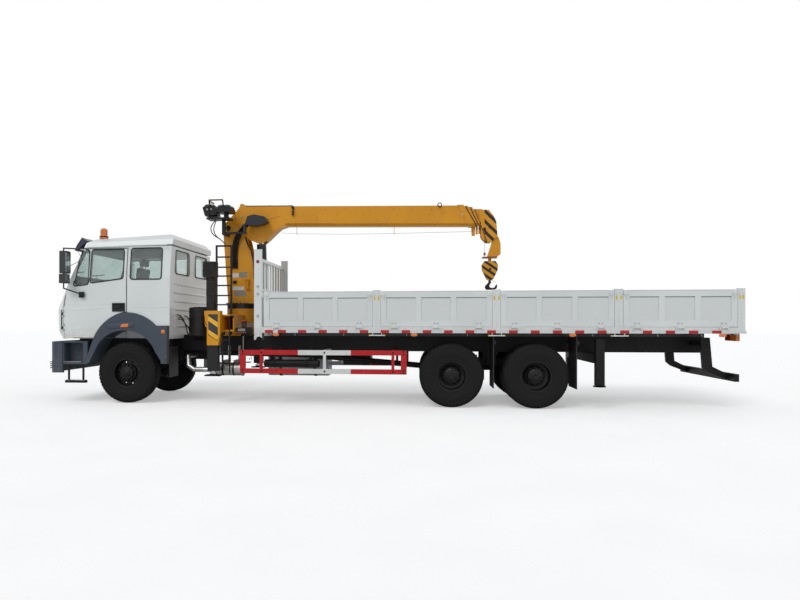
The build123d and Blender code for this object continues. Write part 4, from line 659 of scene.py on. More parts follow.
def stud_circle(name, centre, out, radius, count, body):
    """Wheel nuts on a circle about the axle, standing outwards."""
    turn = Matrix.Rotation(0 if out > 0 else math.pi, 4, "Z")
    nuts = []
    for index in range(count):
        angle = math.tau * (index + 0.5) / count
        spot = Vector(centre) + Vector((radius * math.cos(angle), 0, radius * math.sin(angle)))
        nuts.append(copy_of(wheel_nut, f"{name}_{index}", Matrix.Translation(spot) @ turn))
    fix_on(join_up(name, nuts), body, stud_steel, "rim_black")


def hub_ring(name, section, steps, spot, side, body, width, segments=2):
    """A turned cap or ring that faces outwards on a wheel."""
    piece = start_turned(name, section, steps)
    if side < 0:
        piece.data.transform(MIRROR_Y)
        piece.data.flip_normals()
    piece.data.transform(Matrix.Translation(spot))
    round_off(piece, width, segments)
    fix_on(piece, body, wheel_black, "rim_black")


# grease cap of the front hub and the flanged axle end of the rear one, as (y, radius) rings
front_cap = (
    (0, 0.0001), (0, 0.062), (0.006, 0.066), (0.014, 0.06), (0.018, 0.04), (0.026, 0.036), (0.028, 0.0001)
)
rear_cap = (
    (0, 0.0001), (0, 0.094), (0.01, 0.098), (0.018, 0.092), (0.02, 0.066), (0.03, 0.06), (0.032, 0.036),
    (0.024, 0.03), (0.024, 0.0001)
)
lock_ring = ((0, 0.262), (0.0, 0.272), (0.008, 0.276), (0.012, 0.27), (0.01, 0.262))
flange_bolt_count = 12
SIDES = (("left", -1), ("right", 1))
wheel_table = (
    # place, node of tyres, rims and body, y of the tyres, cap, y of nuts, cap and bolts, radius of nuts and bolts
    ("front", "tyre", "rim", "wheel", (1.05,), front_cap, 1.112, 1.176, 1.171, 0.134, 0.091),
    ("rear_1", "tyres", "rims", "wheels", (1.052, 0.714), rear_cap, 1.012, 1.135, 1.127, 0.15, 0.11),
    ("rear_2", "tyres", "rims", "wheels", (1.052, 0.714), rear_cap, 1.012, 1.135, 1.127, 0.15, 0.11),
)
for side_name, side in SIDES:
    for place_name, *words, wheel_ys, cap, nut_y, cap_y, bolt_y, nut_radius, bolt_radius in wheel_table:
        axle_x = wheel_places[place_name]
        axle, _, number = place_name.partition("_")
        tail = f"{number}_{side_name}" if number else side_name
        tyre_node, rim_node, body = (f"{axle}_{word}_{tail}" for word in words)
        tyres = [
            copy_of(tyre_model, f"{tyre_node}_{i}", Matrix.Translation((axle_x, side * y, tyre_radius)))
            for i, y in enumerate(wheel_ys)
        ]
        tyre = assemble(f"{tyre_node}_treaded", tyres, body, tyre_rubber[place_name], "tyre")
        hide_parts(tyre_node)
        paint_node(rim_node, wheel_black)
        stud_circle(f"{rim_node}_nuts", (axle_x, side * nut_y, tyre_radius), side, nut_radius, 10, body)
        hub_ring(f"{rim_node}_hub_cap", cap, 40, (axle_x, side * cap_y, tyre_radius), side, body, 0.002)
        angles = [bolt * math.tau / flange_bolt_count for bolt in range(flange_bolt_count)]
        spots = [
            (axle_x + bolt_radius * math.cos(a), side * bolt_y, tyre_radius + bolt_radius * math.sin(a))
            for a in angles
        ]
        hex_heads(
            f"{rim_node}_flange_bolts", spots, (0, side, 0), 0.014, 0.012, body, stud_steel, "rim_black"
        )
        ring_spot = (axle_x, side * (wheel_ys[0] + 0.108), tyre_radius)
        hub_ring(f"{rim_node}_lock_ring", lock_ring, 96, ring_spot, side, body, 0.001, 1)
for model in (tyre_model, wheel_nut):
    bpy.data.objects.remove(model)

# finned brake drums behind the front wheels' discs
for side_name, side in SIDES:
    drum = start_drum(
        f"brake_drum_{side_name}", (-4.65, side * 0.915, tyre_radius), (0, side, 0), 0.2, 0.07, 40
    )
    press(drum, (0, side, 0), (0.04, -0.012), (0.05, 0.018))
    round_off(drum, 0.003)
    fix_on(drum, f"front_wheel_{side_name}", casting_black, "rim_black")


# Cab: welded steel pressings in cool white enamel, with a clear coat that mirrors softly. Dust
# gathers towards the sills; the doors' mirror arms and shells are black moulded plastic.
def height_share(tree, low_z, high_z):
    """1 below low_z and 0 above high_z."""
    return ramp(tree, part_of(tree, 2), low_z, high_z, 1.0, 0.0)


def both_of(tree, first, second):
    """The product of two shares."""
    return maths(tree, "MULTIPLY", first, second)


def beyond(tree, axis, limit, either_side=False):
    """1 where the place lies past limit along the axis, on both sides of the truck if asked."""
    value = part_of(tree, axis)
    if either_side:
        value = maths(tree, "ABSOLUTE", value)
    return maths(tree, "GREATER_THAN", value, limit)


def cab_enamel_colour(tree):
    """Cool white with the faint yellowing and sill dust of a truck that has been driven."""
    aged = blend_colours(tree, patches(tree, 700), "#E4E8E8", "#DDE3E2")
    low_dust = both_of(tree, height_share(tree, 1.2, 1.55), patches(tree, 110))
    return blend_colours(tree, both_of(tree, low_dust, patches(tree, 30, 0.2, 0.8)), aged, "#C9C3B4")


cab_enamel, tree = start_finish("cab_enamel", "#E3E8E8", 0.32, coat_weight=0.4, coat_roughness=0.12)
colour_by(tree, cab_enamel_colour(tree))
relief(tree, patches(tree, 5, 0.3, 0.7, 1.0), 0.06, 0.5)
paint_node("cab_shell", cab_enamel)

door_enamel, tree = start_finish(
    "door_enamel_and_mirror_plastic", "#E3E8E8", 0.34, coat_weight=0.3, coat_roughness=0.14
)
outside = beyond(tree, 1, 1.2265, True)
colour_by(
    tree,
    blend_colours(
        tree, outside, cab_enamel_colour(tree), blend_colours(tree, patches(tree, 40), "#141518", "#1E2023")
    )
)
relief(tree, patches(tree, 5, 0.3, 0.7, 1.0), 0.06, 0.5)
for node in ("cab_door_left", "cab_door_right"):
    paint_node(node, door_enamel)

moulded_black, tree = start_finish(
    "moulded_black_plastic", "#101113", 0.5, mottle=("#0F1012", "#17191C", 60), specular_ior_level=0.3
)
relief(tree, patches(tree, 2.5, 0.3, 0.7, 1.0), 0.15, 0.6)
seal_rubber, tree = start_finish("glazing_rubber", "#0E0F10", 0.55, mottle=("#0D0E0F", "#191A1B", 45))


def on_cab(x, z, node, side=-1):
    """Where the cab's side wall lies at that x and z."""
    found, spot, normal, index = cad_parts[node].ray_cast(
        Vector((x, side * 1.5, z)), Vector((0, -side, 0))
    )
    return spot.y if found else side * 1.222


def on_nose(y, z, node="cab_shell"):
    """Where the cab's nose or its glass lies at that y and z, or None beside it."""
    found, spot, normal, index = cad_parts[node].ray_cast(Vector((-6.5, y, z)), Vector((1, 0, 0)))
    return spot if found else None


def bead(name, points, radius, body, finish, slot, closed=True, segments=8):
    """A round bead that runs through points, such as a glazing rubber."""
    deselect_all()
    bpy.ops.curve.primitive_nurbs_path_add(location=(0, 0, 0))
    line = bpy.context.object
    line.name = name
    line.data.splines.clear()
    spline = line.data.splines.new("POLY")
    spline.points.add(len(points) - 1)
    for control, point in zip(spline.points, points):
        control.co = (*point, 1)
    spline.use_cyclic_u = closed
    line.data.bevel_depth = radius
    line.data.bevel_resolution = segments // 4
    line.data.use_fill_caps = not closed
    line.select_set(True)
    bpy.context.view_layer.objects.active = line
    bpy.ops.object.convert(target="MESH")
    bpy.ops.object.shade_smooth()
    fix_on(bpy.context.object, body, finish, slot)
    return bpy.context.object


def rounded(corners, radius, steps=4):
    """The outline through corners, in order, with each corner turned by a short arc."""
    outline = []
    count = len(corners)
    for i, corner in enumerate(corners):
        here = Vector(corner)
        to_last = (Vector(corners[i - 1]) - here).normalized()
        to_next = (Vector(corners[(i + 1) % count]) - here).normalized()
        for step in range(steps + 1):
            t = step / steps
            point = here + to_last * radius * (1 - t) ** 2 + to_next * radius * t ** 2
            outline.append(tuple(point))
    return outline


# glazing rubbers round the doors' windows, the side windows and the rear windows
window_table = (
    # name, wall node, body, corners as (x, z)
    ("quarter_window", "cab_door_", "door_",
        ((-5.667, 2.19), (-5.57, 2.84), (-5.385, 2.845), (-5.385, 2.225))),
    ("door_window", "cab_door_", "door_",
        ((-5.34, 2.245), (-5.325, 2.85), (-4.715, 2.855), (-4.715, 2.325))),
    ("side_window", "cab_shell", "root",
        ((-4.556, 2.31), (-4.556, 2.868), (-3.981, 2.872), (-3.981, 2.31))),
)
SEAL_BLACK = (seal_rubber, "trim_black")
for window_name, wall, body, corners in window_table:
    for side_name, side in SIDES:
        node, rider = (word + side_name if word.endswith("_") else word for word in (wall, body))
        middle = Vector((sum(c[0] for c in corners) / 4, sum(c[1] for c in corners) / 4))
        wide = [tuple(Vector(c) + (Vector(c) - middle).normalized() * 0.016) for c in corners]
        points = [(x, on_cab(x, z, node, side) + side * 0.001, z) for x, z in rounded(wide, 0.055)]
        bead(window_name + f"_rubber_{side_name}", points, 0.0125, rider, *SEAL_BLACK)
for side_name, side in SIDES:
    frame_corners = [
        (side * 0.56 + dy, 2.64 + dz)
        for dy, dz in ((-0.372, -0.222), (0.372, -0.222), (0.372, 0.222), (-0.372, 0.222))
    ]
    bead(
        f"rear_window_rubber_{side_name}", [(-3.799, y, z) for y, z in rounded(frame_corners, 0.06)], 0.0125,
        "root", *SEAL_BLACK
    )

# windscreen rubber, laid on the sloping nose
screen_points = []
for y, z in rounded(((-1.005, 2.375), (1.005, 2.375), (0.935, 2.845), (-0.935, 2.845)), 0.07, 5):
    spot = on_nose(y, z)
    screen_points.append((spot.x - 0.001 if spot else -5.75, y, z))
bead("windscreen_rubber", screen_points, 0.014, "root", *SEAL_BLACK)

# pressed swage lines on the doors and side walls, and the dark gap by the corner panel
swage_table = (
    # name, node, body, start and end as (x, z), half height
    ("door_belt", "cab_door_", "door_", (-5.72, 1.724), (-4.948, 1.772), 0.006),
    ("door_foot", "cab_door_", "door_", (-5.696, 1.375), (-5.5, 1.378), 0.006),
    ("rear_belt", "cab_shell", "root", (-4.56, 1.776), (-3.86, 1.778), 0.006),
    ("waist_line", "cab_shell", "root", (-4.56, 1.842), (-3.86, 1.842), 0.004),
    ("door_waist", "cab_door_", "door_", (-5.78, 1.842), (-4.69, 1.842), 0.004),
    ("gutter_lip", "cab_shell", "root", (-5.44, 2.908), (-3.85, 2.934), 0.009),
)
for swage_name, wall, body, start, end, half in swage_table:
    for side_name, side in SIDES:
        node, rider = (word + side_name if word.endswith("_") else word for word in (wall, body))
        points = []
        for step in range(9):
            x = start[0] + (end[0] - start[0]) * step / 8
            z = start[1] + (end[1] - start[1]) * step / 8
            points.append((x, on_cab(x, z, node, side), z))
        bead(swage_name + f"_{side_name}", points, half, rider, cab_enamel, "cab_white", closed=False)
for side_name, side in SIDES:
    gap_strip = soft_block(
        f"corner_gap_{side_name}", (-5.916, side * 1.2275 - 0.004, 1.365),
        (-5.896, side * 1.2275 + 0.004, 1.735), 0.002
    )
    fix_on(gap_strip, "root", *SEAL_BLACK)

# rubber seal round each door's edge, dark in the gap
door_edge = (
    (-5.856, 1.8), (-5.788, 2.338), (-5.568, 2.856), (-5.543, 2.877), (-4.641, 2.877), (-4.641, 1.212),
    (-5.8, 1.212)
)
for side_name, side in SIDES:
    points = []
    for start, end in zip(door_edge, door_edge[1:]):
        steps = max(1, round(math.dist(start, end) / 0.12))
        for step in range(steps):
            x = start[0] + (end[0] - start[0]) * step / steps
            z = start[1] + (end[1] - start[1]) * step / steps
            points.append((x, on_cab(x, z, f"cab_door_{side_name}", side), z))
    bead(f"door_seal_{side_name}", points, 0.0055, f"door_{side_name}", *SEAL_BLACK, closed=False)

TRIM_BLACK = (moulded_black, "trim_black")
# door handles: a black moulded cup with a pull bar across it and a lock barrel
for side_name, side in SIDES:
    wall_y = on_cab(-4.79, 1.78, f"cab_door_{side_name}", side)
    cup = start_block("door_handle", (-4.913, wall_y - 0.016, 1.7), (-4.667, wall_y + 0.016, 1.861))
    press(cup, (0, side, 0), (0.018, 0), (0.006, -0.011))
    round_off(cup, 0.003)
    pull = start_block(
        "pull", (-4.885, wall_y + side * 0.009 - 0.006, 1.762), (-4.745, wall_y + side * 0.009 + 0.006, 1.812)
    )
    press(pull, (0, side, 0), (0.01, 0.003))
    round_off(pull, 0.004)
    lock = soft_drum("lock", (-4.705, wall_y, 1.745), (0, side, 0), 0.012, 0.014, 20, 0.002)
    assemble(f"door_handle_{side_name}", [cup, pull, lock], f"door_{side_name}", *TRIM_BLACK)

# mirrors: silvered glass in the two shells of each arm, and the arm's black foot on the door
mirror_silver, tree = start_finish(
    "silvered_mirror", "#C9CED2", 0.04, 1.0, mottle=("#C5CACE", "#CDD2D6", 200)
)
for side_name, side in SIDES:
    for glass_name, rear_x, centre_z, half_y, half_z in (
        ("main_mirror", -5.67, 2.606, 0.088, 0.18), ("round_mirror", -5.69, 2.305, 0.075, 0.066)
    ):
        glass = start_block(
            f"{glass_name}_{side_name}", (rear_x - 0.002, side * 1.42 - half_y, centre_z - half_z),
            (rear_x + 0.003, side * 1.42 + half_y, centre_z + half_z)
        )
        trim_corners(glass, "yz", 0.018, 4)
        round_off(glass, 0.001, 1)
        fix_on(glass, f"door_{side_name}", mirror_silver, "trim_black")
    wall_y = on_cab(-5.492, 2.018, f"cab_door_{side_name}", side)
    foot = start_block(
        f"mirror_foot_{side_name}", (-5.545, wall_y - 0.012, 1.96), (-5.44, wall_y + 0.012, 2.07)
    )
    press(foot, (0, side, 0), (0.02, 0.014))
    round_off(foot, 0.005)
    fix_on(foot, f"door_{side_name}", *TRIM_BLACK)

# glass: clear safety glass with the faint green of its edge
safety_glass, tree = start_finish(
    "safety_glass", "#D5E2DF", 0.02, mottle=("#D2E0DC", "#DBE6E4", 400), ior=1.45, transmission_weight=0.92
)
for node in ("cab_glass", "door_glass_left", "door_glass_right"):
    paint_node(node, safety_glass)

# wipers: two black arms with blades, parked along the windscreen's foot
for wiper_index, foot_y in enumerate((-0.56, 0.3)):
    parts = []
    foot_spot = on_nose(foot_y, 2.325)
    tip_spot = on_nose(foot_y - 0.36, 2.45, "cab_glass")
    parts.append(
        soft_drum("spindle", foot_spot + Vector((0.01, 0, 0)), (-0.92, 0, 0.38), 0.018, 0.045, 16, 0.003)
    )
    arm = bead(
        "wiper_arm",
        [
            foot_spot + Vector((-0.03, 0, 0.008)), foot_spot + Vector((-0.034, -0.12, 0.05)),
            tip_spot + Vector((-0.026, 0, 0))
        ],
        0.008, "root", *TRIM_BLACK, closed=False
    )
    blade_points = []
    for step in range(7):
        y = foot_y - 0.36 - 0.3 + step * 0.1
        z = 2.425 + step * 0.01
        spot = on_nose(y, z, "cab_glass")
        if spot:
            blade_points.append(spot + Vector((-0.014, 0, 0)))
    blade = bead("wiper_blade", blade_points, 0.009, "root", *TRIM_BLACK, closed=False)
    assemble(f"wiper_{wiper_index + 1}", [arm, blade] + parts, "root", *TRIM_BLACK)

# rear wall: six pressed stiffening ribs
for rib_index, rib_z in enumerate((1.42, 1.58, 1.74, 1.9, 2.06, 2.22)):
    rib = soft_block(
        f"rear_rib_{rib_index + 1}", (-3.812, -0.98, rib_z - 0.022), (-3.79, 0.98, rib_z + 0.022), 0.009, 3
    )
    fix_on(rib, "root", cab_enamel, "cab_white")


# Fenders, bumper and steps: moulded slate-blue plastic with a fine leather grain, and black
# rubber flaps behind the wheels. The treads of the steps are pressed aluminium.
slate_plastic, tree = start_finish("grained_slate_plastic", "#39424F", 0.55)
flap = beyond(tree, 0, -3.86)
moulded = blend_colours(tree, patches(tree, 300), "#363F4C", "#3D4653")
scuffed = blend_colours(
    tree, both_of(tree, height_share(tree, 0.6, 1.05), patches(tree, 50, 0.4, 0.7)), moulded, "#5E6268"
)
colour_by(
    tree, blend_colours(tree, flap, scuffed, blend_colours(tree, patches(tree, 60), "#141414", "#22211F"))
)


def cells(tree, size_mm):
    """How far the place lies from the middle of its small cell."""
    return add_node(
        tree, "ShaderNodeTexVoronoi", {"Scale": 1000 / size_mm}, {"Vector": place_in(tree)}
    ).outputs["Distance"]


relief(tree, cells(tree, 3), 0.25, 0.7)
paint_node("fenders", slate_plastic)

step_metal, tree = start_finish("pressed_aluminium", "#A9ACAE", 0.38, 1.0, mottle=("#9A9DA0", "#B5B8BA", 25))
relief(tree, patches(tree, 4, 0.3, 0.7, 1.0), 0.3, 0.6)


def waves(tree, direction, scale, vector=None):
    """Soft waves along a direction, 0 in the hollows and 1 on the crests."""
    settings = {"bands_direction": direction, "Scale": scale}
    spot = place_in(tree) if vector is None else vector
    return add_node(tree, "ShaderNodeTexWave", settings, {"Vector": spot}).outputs[0]


def ribbed_lens(name, colour, dark, light):
    """A moulded lens with upright ribs."""
    lens, tree = start_finish(name, colour, 0.18, coat_weight=0.5)
    ribs = waves(tree, "X", 1000 / 9 / math.tau)
    colour_by(tree, blend_colours(tree, ribs, dark, light))
    relief(tree, ribs, 0.8, 0.6)
    return lens


amber_lens = ribbed_lens("amber_lens", "#E8791A", "#D9660F", "#F08A2A")
red_lens = ribbed_lens("red_lens", "#B3141B", "#9E1018", "#C71E24")

# raised blister on the fender's shoulder with the side marker lamp let into it
blister = start_block("fender_blister", (-5.01, -1.253, 1.408), (-4.48, -1.244, 1.5))
trim_corners(blister, "xz", 0.04, 4)
press(blister, (0, -1, 0), (0.01, 0.004))
pick(blister, "VERT", lambda co: co.x < -4.9)
bpy.ops.transform.translate(value=(0, 0, -0.03))
round_off(blister, 0.003)
fix_both(blister, "fender_blister_right", "root", slate_plastic, "slate_plastic")
marker_lamp = start_block("fender_lamp", (-4.75, -1.266, 1.412), (-4.59, -1.25, 1.478))
pick(marker_lamp, "VERT", lambda co: co.x < -4.7 and co.z > 1.45)
bpy.ops.transform.translate(value=(0.04, 0, -0.012))
round_off(marker_lamp, 0.006, 3)
LENS_AMBER = (amber_lens, "lamp_plastic")
fix_both(marker_lamp, "fender_lamp_right", "root", *LENS_AMBER)
square_lamp = start_block("fender_reflector", (-3.96, -1.252, 1.296), (-3.894, -1.243, 1.362))
press(square_lamp, (0, -1, 0), (0.006, 0.003))
round_off(square_lamp, 0.002)
fix_both(square_lamp, "fender_reflector_right", "root", *LENS_AMBER)


def tread_plate(name, low, high, teeth_x, teeth_y):
    """A step tread: a plate with rows of small raised teeth."""
    plate = soft_block(f"{name}_plate", low, high, 0.003)
    teeth = [plate]
    for ix in range(teeth_x):
        for iy in range(teeth_y):
            x = low[0] + (high[0] - low[0]) * (ix + 0.5) / teeth_x
            y = low[1] + (high[1] - low[1]) * (iy + 0.5) / teeth_y
            tooth = start_drum("tooth", (x, y, high[2]), (0, 0, 1), 0.01, 0.004, 8)
            pick(tooth, "FACE", lambda face: face.normal.z > 0.9)
            bpy.ops.transform.resize(value=(0.6, 0.6, 1))
            teeth.append(tooth)
    return assemble(name, teeth, "root", step_metal, "jack_steel")


for tread_name, low, high, teeth in (
    ("box_step_tread", (-5.868, -1.238, 0.76), (-5.52, -1.06, 0.766), (9, 4)),
    ("hanging_step_tread", (-5.852, -1.192, 0.415), (-5.462, -1.108, 0.42), (11, 2))
):
    tread = tread_plate(f"{tread_name}_left", low, high, *teeth)
    mirrored(tread, f"{tread_name}_right", "root", step_metal, "jack_steel")

# bumper's corner vents: four moulded bars a side
for side_name, side in SIDES:
    bars = []
    for bar_index in range(4):
        z = 0.64 + bar_index * 0.036
        bar = start_block(
            "vent_bar", (-6.118, side * 1.172 - 0.052, z), (-6.098, side * 1.172 + 0.052, z + 0.018)
        )
        turn = Matrix.Translation((-6.108, side * 1.172, 0)) @ Matrix.Rotation(
            side * math.radians(42), 4, "Z"
        )
        bar.data.transform(turn @ Matrix.Translation((6.108, -side * 1.172, 0)))
        round_off(bar, 0.004)
        bars.append(bar)
    assemble(f"bumper_vent_{side_name}", bars, "root", *TRIM_BLACK)


# Lamps: clear ribbed lenses in the bumper, red and amber ones at the tail, and the amber
# beacon on the roof. All are moulded polycarbonate or acrylic over bright reflectors.
lamp_plastic, tree = start_finish("lamp_lens", "#D9DEE0", 0.12, coat_weight=0.6, transmission_weight=0.25)
ahead = maths(tree, "LESS_THAN", part_of(tree, 0), -5.9)
tail = beyond(tree, 0, 5.8)
inner_tail = both_of(tree, tail, beyond(tree, 1, 0.89, True))
roof_colour = blend_colours(tree, patches(tree, 60), "#E06A12", "#F08C22")
tail_colour = blend_colours(tree, inner_tail, "#A9131A", "#E0801E")
rear_colour = blend_colours(tree, tail, roof_colour, tail_colour)
colour_by(tree, blend_colours(tree, ahead, rear_colour, "#D9DEE0"))
relief(tree, waves(tree, "Y", 1000 / 14 / math.tau), 1.5, 0.5)
paint_node("lamps", lamp_plastic)

# beacon's rubber foot and the clamp ring that holds its lens
beacon_x, beacon_y = -5.24, -0.88
foot = start_turned(
    "beacon_foot", ((3.05, 0.0001), (3.05, 0.092), (3.085, 0.09), (3.095, 0.078), (3.095, 0.0001)), 40
)
clamp = start_turned(
    "beacon_clamp", ((3.126, 0.066), (3.126, 0.086), (3.136, 0.088), (3.144, 0.084), (3.144, 0.066)), 40
)
beacon_base = join_up("beacon_foot", [foot, clamp])
beacon_base.data.transform(moved((beacon_x, beacon_y, 0), 90, "X"))
round_off(beacon_base, 0.002)
fix_on(beacon_base, "root", *TRIM_BLACK)

# headlamp bezels and their round reflectors behind the lens line
for side_name, side in SIDES:
    bezel = start_block("bezel", (-6.172, side * 0.9 - 0.165, 0.812), (-6.128, side * 0.9 + 0.165, 0.988))
    press(bezel, (-1, 0, 0), (0.014, 0), (0.004, -0.012))
    round_off(bezel, 0.003)
    lamps = [bezel]
    for bowl_y in (-0.075, 0.08):
        bowl = start_drum("bowl", (-6.158, side * 0.9 + bowl_y, 0.9), (-1, 0, 0), 0.066, 0.012, 32)
        press(bowl, (-1, 0, 0), (0.01, 0.0), (0.02, -0.008))
        round_off(bowl, 0.002)
        lamps.append(bowl)
    assemble(f"headlamp_bezel_{side_name}", lamps, "root", step_metal, "jack_steel")


# Grille and sun visor: black slatted moulding on the nose, smoked acrylic visor over the glass.
trim_plastic, tree = start_finish("black_and_smoked_trim", "#1D2026", 0.42, coat_weight=0.2)
visor = beyond(tree, 2, 2.8)
colour_by(
    tree,
    blend_colours(
        tree, visor, blend_colours(tree, patches(tree, 70), "#191B1F", "#26282C"),
        blend_colours(tree, patches(tree, 200), "#171B33", "#1E2340")
    )
)
relief(tree, patches(tree, 3, 0.3, 0.7, 1.0), 0.1, 0.4)
paint_node("cab_trim", trim_plastic)
bars = []
for bar_index in range(11):
    y = -0.6 + bar_index * 0.12
    bars.append(soft_block("grille_bar", (-6.143, y - 0.006, 1.385), (-6.12, y + 0.006, 1.735), 0.003))
assemble("grille_bars", bars, "root", *TRIM_BLACK)


# Cab inside: grained grey dashboard and bunk box, and a black foam steering wheel. The seats
# are sewn cushions in woven cloth over foam, on sprung pedestals.
dash_plastic, tree = start_finish("grained_dash_plastic", "#55585C", 0.6)
wheel_zone = both_of(tree, beyond(tree, 2, 2.1), beyond(tree, 0, -5.47))
colour_by(
    tree,
    blend_colours(tree, wheel_zone, blend_colours(tree, patches(tree, 300), "#4F5256", "#5C5F63"), "#1A1B1D")
)
relief(tree, cells(tree, 3), 0.25, 0.6)
paint_node("cab_dash", dash_plastic)

cowl = start_block("instrument_cowl", (-5.56, -0.9, 2.16), (-5.44, -0.4, 2.24))
press(cowl, (1, 0, 0), (0.014, 0), (0.004, -0.02))
round_off(cowl, 0.01, 3)
fix_on(cowl, "root", *TRIM_BLACK)
dials = []
for dial_y in (-0.76, -0.65, -0.54):
    dial = start_drum("dial", (-5.462, dial_y, 2.2), (1, 0, 0), 0.03, 0.006, 24)
    press(dial, (1, 0, 0), (0.005, -0.003))
    dials.append(dial)
assemble("instrument_dials", dials, "root", step_metal, "dash_plastic")
lever_rod = start_drum("lever_rod", (-5.05, -0.1, 1.595), (0.12, 0, 0.99), 0.011, 0.36, 12)
lever_ball = start_turned(
    "lever_ball", ((-0.026, 0.0001), (-0.02, 0.017), (0, 0.026), (0.02, 0.017), (0.026, 0.0001)), 20
)
lever_ball.data.transform(Matrix.Translation((-5.007, -0.1, 1.965)))
lever_boot = start_drum("lever_boot", (-5.05, -0.1, 1.6), (0, 0, 1), 0.075, 0.08, 20)
pick(lever_boot, "FACE", lambda face: face.normal.z > 0.9)
bpy.ops.transform.resize(value=(0.35, 0.35, 1))
round_off(lever_boot, 0.006)
assemble("gear_lever", [lever_rod, lever_ball, lever_boot], "root", *TRIM_BLACK)

# seat cloth: charcoal weave of 4 mm threads, drawn three times coarser than it is, with sheen
seat_cloth, tree = start_finish("woven_seat_cloth", "#474B53", 0.9, sheen_weight=0.35)
thread_mm = 12
warp, weft = (waves(tree, direction, 1000 / thread_mm / math.tau * 2) for direction in "YZ")
weave = both_of(tree, warp, weft)
colour_by(tree, blend_colours(tree, weave, "#3C4048", "#555A63"))
relief(tree, weave, 0.8, 0.8)
paint_node("cab_seats", seat_cloth)


def sewn_pad(name, low, high, crown, channels, swell=4.0):
    """A foam pad in a sewn cover: swollen as cloth under pressure, then seamed along channels."""
    pad = start_block(name, low, high)
    bpy.ops.object.mode_set(mode="EDIT")
    bpy.ops.mesh.select_all(action="SELECT")
    bpy.ops.mesh.subdivide(number_cuts=3)
    bpy.ops.object.mode_set(mode="OBJECT")
    round_off(pad, crown * 0.5, 3)
    grid = pad.modifiers.new("remesh", "REMESH")
    grid.mode = "VOXEL"
    grid.voxel_size = 0.014
    bpy.ops.object.modifier_apply(modifier="remesh")
    start = [v.co.copy() for v in pad.data.vertices]
    cloth = pad.modifiers.new("cover", "CLOTH")
    cloth.settings.use_pressure = True
    cloth.settings.uniform_pressure_force = swell
    cloth.settings.effector_weights.gravity = 0
    cloth.point_cache.frame_end = 14
    for step in range(1, 15):
        bpy.context.scene.frame_set(step)
    bpy.ops.object.modifier_apply(modifier="cover")
    bpy.context.scene.frame_set(1)
    for point, was in zip(pad.data.vertices, start):
        moved = point.co - was
        if moved.length > 0.014:
            point.co = was + moved.normalized() * 0.014
    for channel_axis, value in channels:
        for point in pad.data.vertices:
            gap = abs(point.co[channel_axis] - value)
            if gap < 0.03:
                point.co -= point.normal * 0.009 * (1 - gap / 0.03) ** 2
    smooth = pad.modifiers.new("smooth", "SUBSURF")
    smooth.levels = 1
    smooth.render_levels = 1
    bpy.ops.object.modifier_apply(modifier="smooth")
    bpy.ops.object.shade_smooth()
    return pad


for seat_name, seat_y in (("driver", -0.65), ("mate", 0.65)):
    cushion = sewn_pad(
        f"{seat_name}_cushion", (-5.12, seat_y - 0.24, 1.752), (-4.64, seat_y + 0.24, 1.892), 0.05,
        ((1, seat_y - 0.15), (1, seat_y + 0.15), (0, -4.88))
    )
    back = sewn_pad(
        f"{seat_name}_back", (-0.045, seat_y - 0.236, 0.01), (0.045, seat_y + 0.236, 0.64), 0.04,
        ((1, seat_y - 0.15), (1, seat_y + 0.15), (2, 0.22), (2, 0.43))
    )
    lean = moved((-4.632, 0, 1.915), 8.2, "Y")
    back.data.transform(lean)
    rest = sewn_pad(
        f"{seat_name}_headrest", (-0.035, seat_y - 0.135, 0.0), (0.035, seat_y + 0.135, 0.15), 0.03,
        ((2, 0.075),)
    )
    rest.data.transform(moved((-4.525, 0, 2.575), 8.2, "Y"))
    for pad in (cushion, back, rest):
        fix_on(pad, "root", seat_cloth, "seat_fabric")
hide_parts("cab_seats")
for seat_name, seat_y in (("driver", -0.65), ("mate", 0.65)):
    shell = start_block("pedestal", (-5.09, seat_y - 0.18, 1.422), (-4.7, seat_y + 0.18, 1.745))
    pick(shell, "FACE", lambda face: face.normal.z < -0.9)
    bpy.ops.transform.resize(value=(1.15, 1.15, 1))
    pick(shell, "FACE", lambda face: abs(face.normal.y) > 0.9)
    bpy.ops.mesh.inset(thickness=0.03, depth=-0.012)
    round_off(shell, 0.006)
    posts = [shell]
    for post_y in (-0.06, 0.06):
        posts.append(
            soft_drum(
                "headrest_post", (-4.535, seat_y + post_y, 2.53), (0.14, 0, 0.99), 0.007, 0.075, 10, 0.001, 1
            )
        )
    assemble(f"{seat_name}_pedestal", posts, "root", *TRIM_BLACK)


# Tanks, air cleaner and battery box: black painted steel. The fuel tank on the right rail is
# plain aluminium held by two black straps; the air cleaner's head has moulded louvres.
tank_black, tree = start_finish("tank_enamel", "#0E0F10", 0.42, specular_ior_level=0.3)
fuel_side = both_of(tree, beyond(tree, 1, 0.45), beyond(tree, 0, -2.6))
fuel_only = both_of(tree, fuel_side, maths(tree, "LESS_THAN", part_of(tree, 0), -0.95))
dusty = blend_colours(
    tree, both_of(tree, height_share(tree, 1.1, 0.4), patches(tree, 90, 0.4, 0.7)), "#0E0F10", "#27241F"
)
colour_by(
    tree, blend_colours(tree, fuel_only, dusty, blend_colours(tree, patches(tree, 120), "#9DA0A3", "#B4B7BA"))
)
relief(tree, patches(tree, 5, 0.3, 0.7, 1.0), 0.15, 0.4)
paint_node("tanks_intake", tank_black)

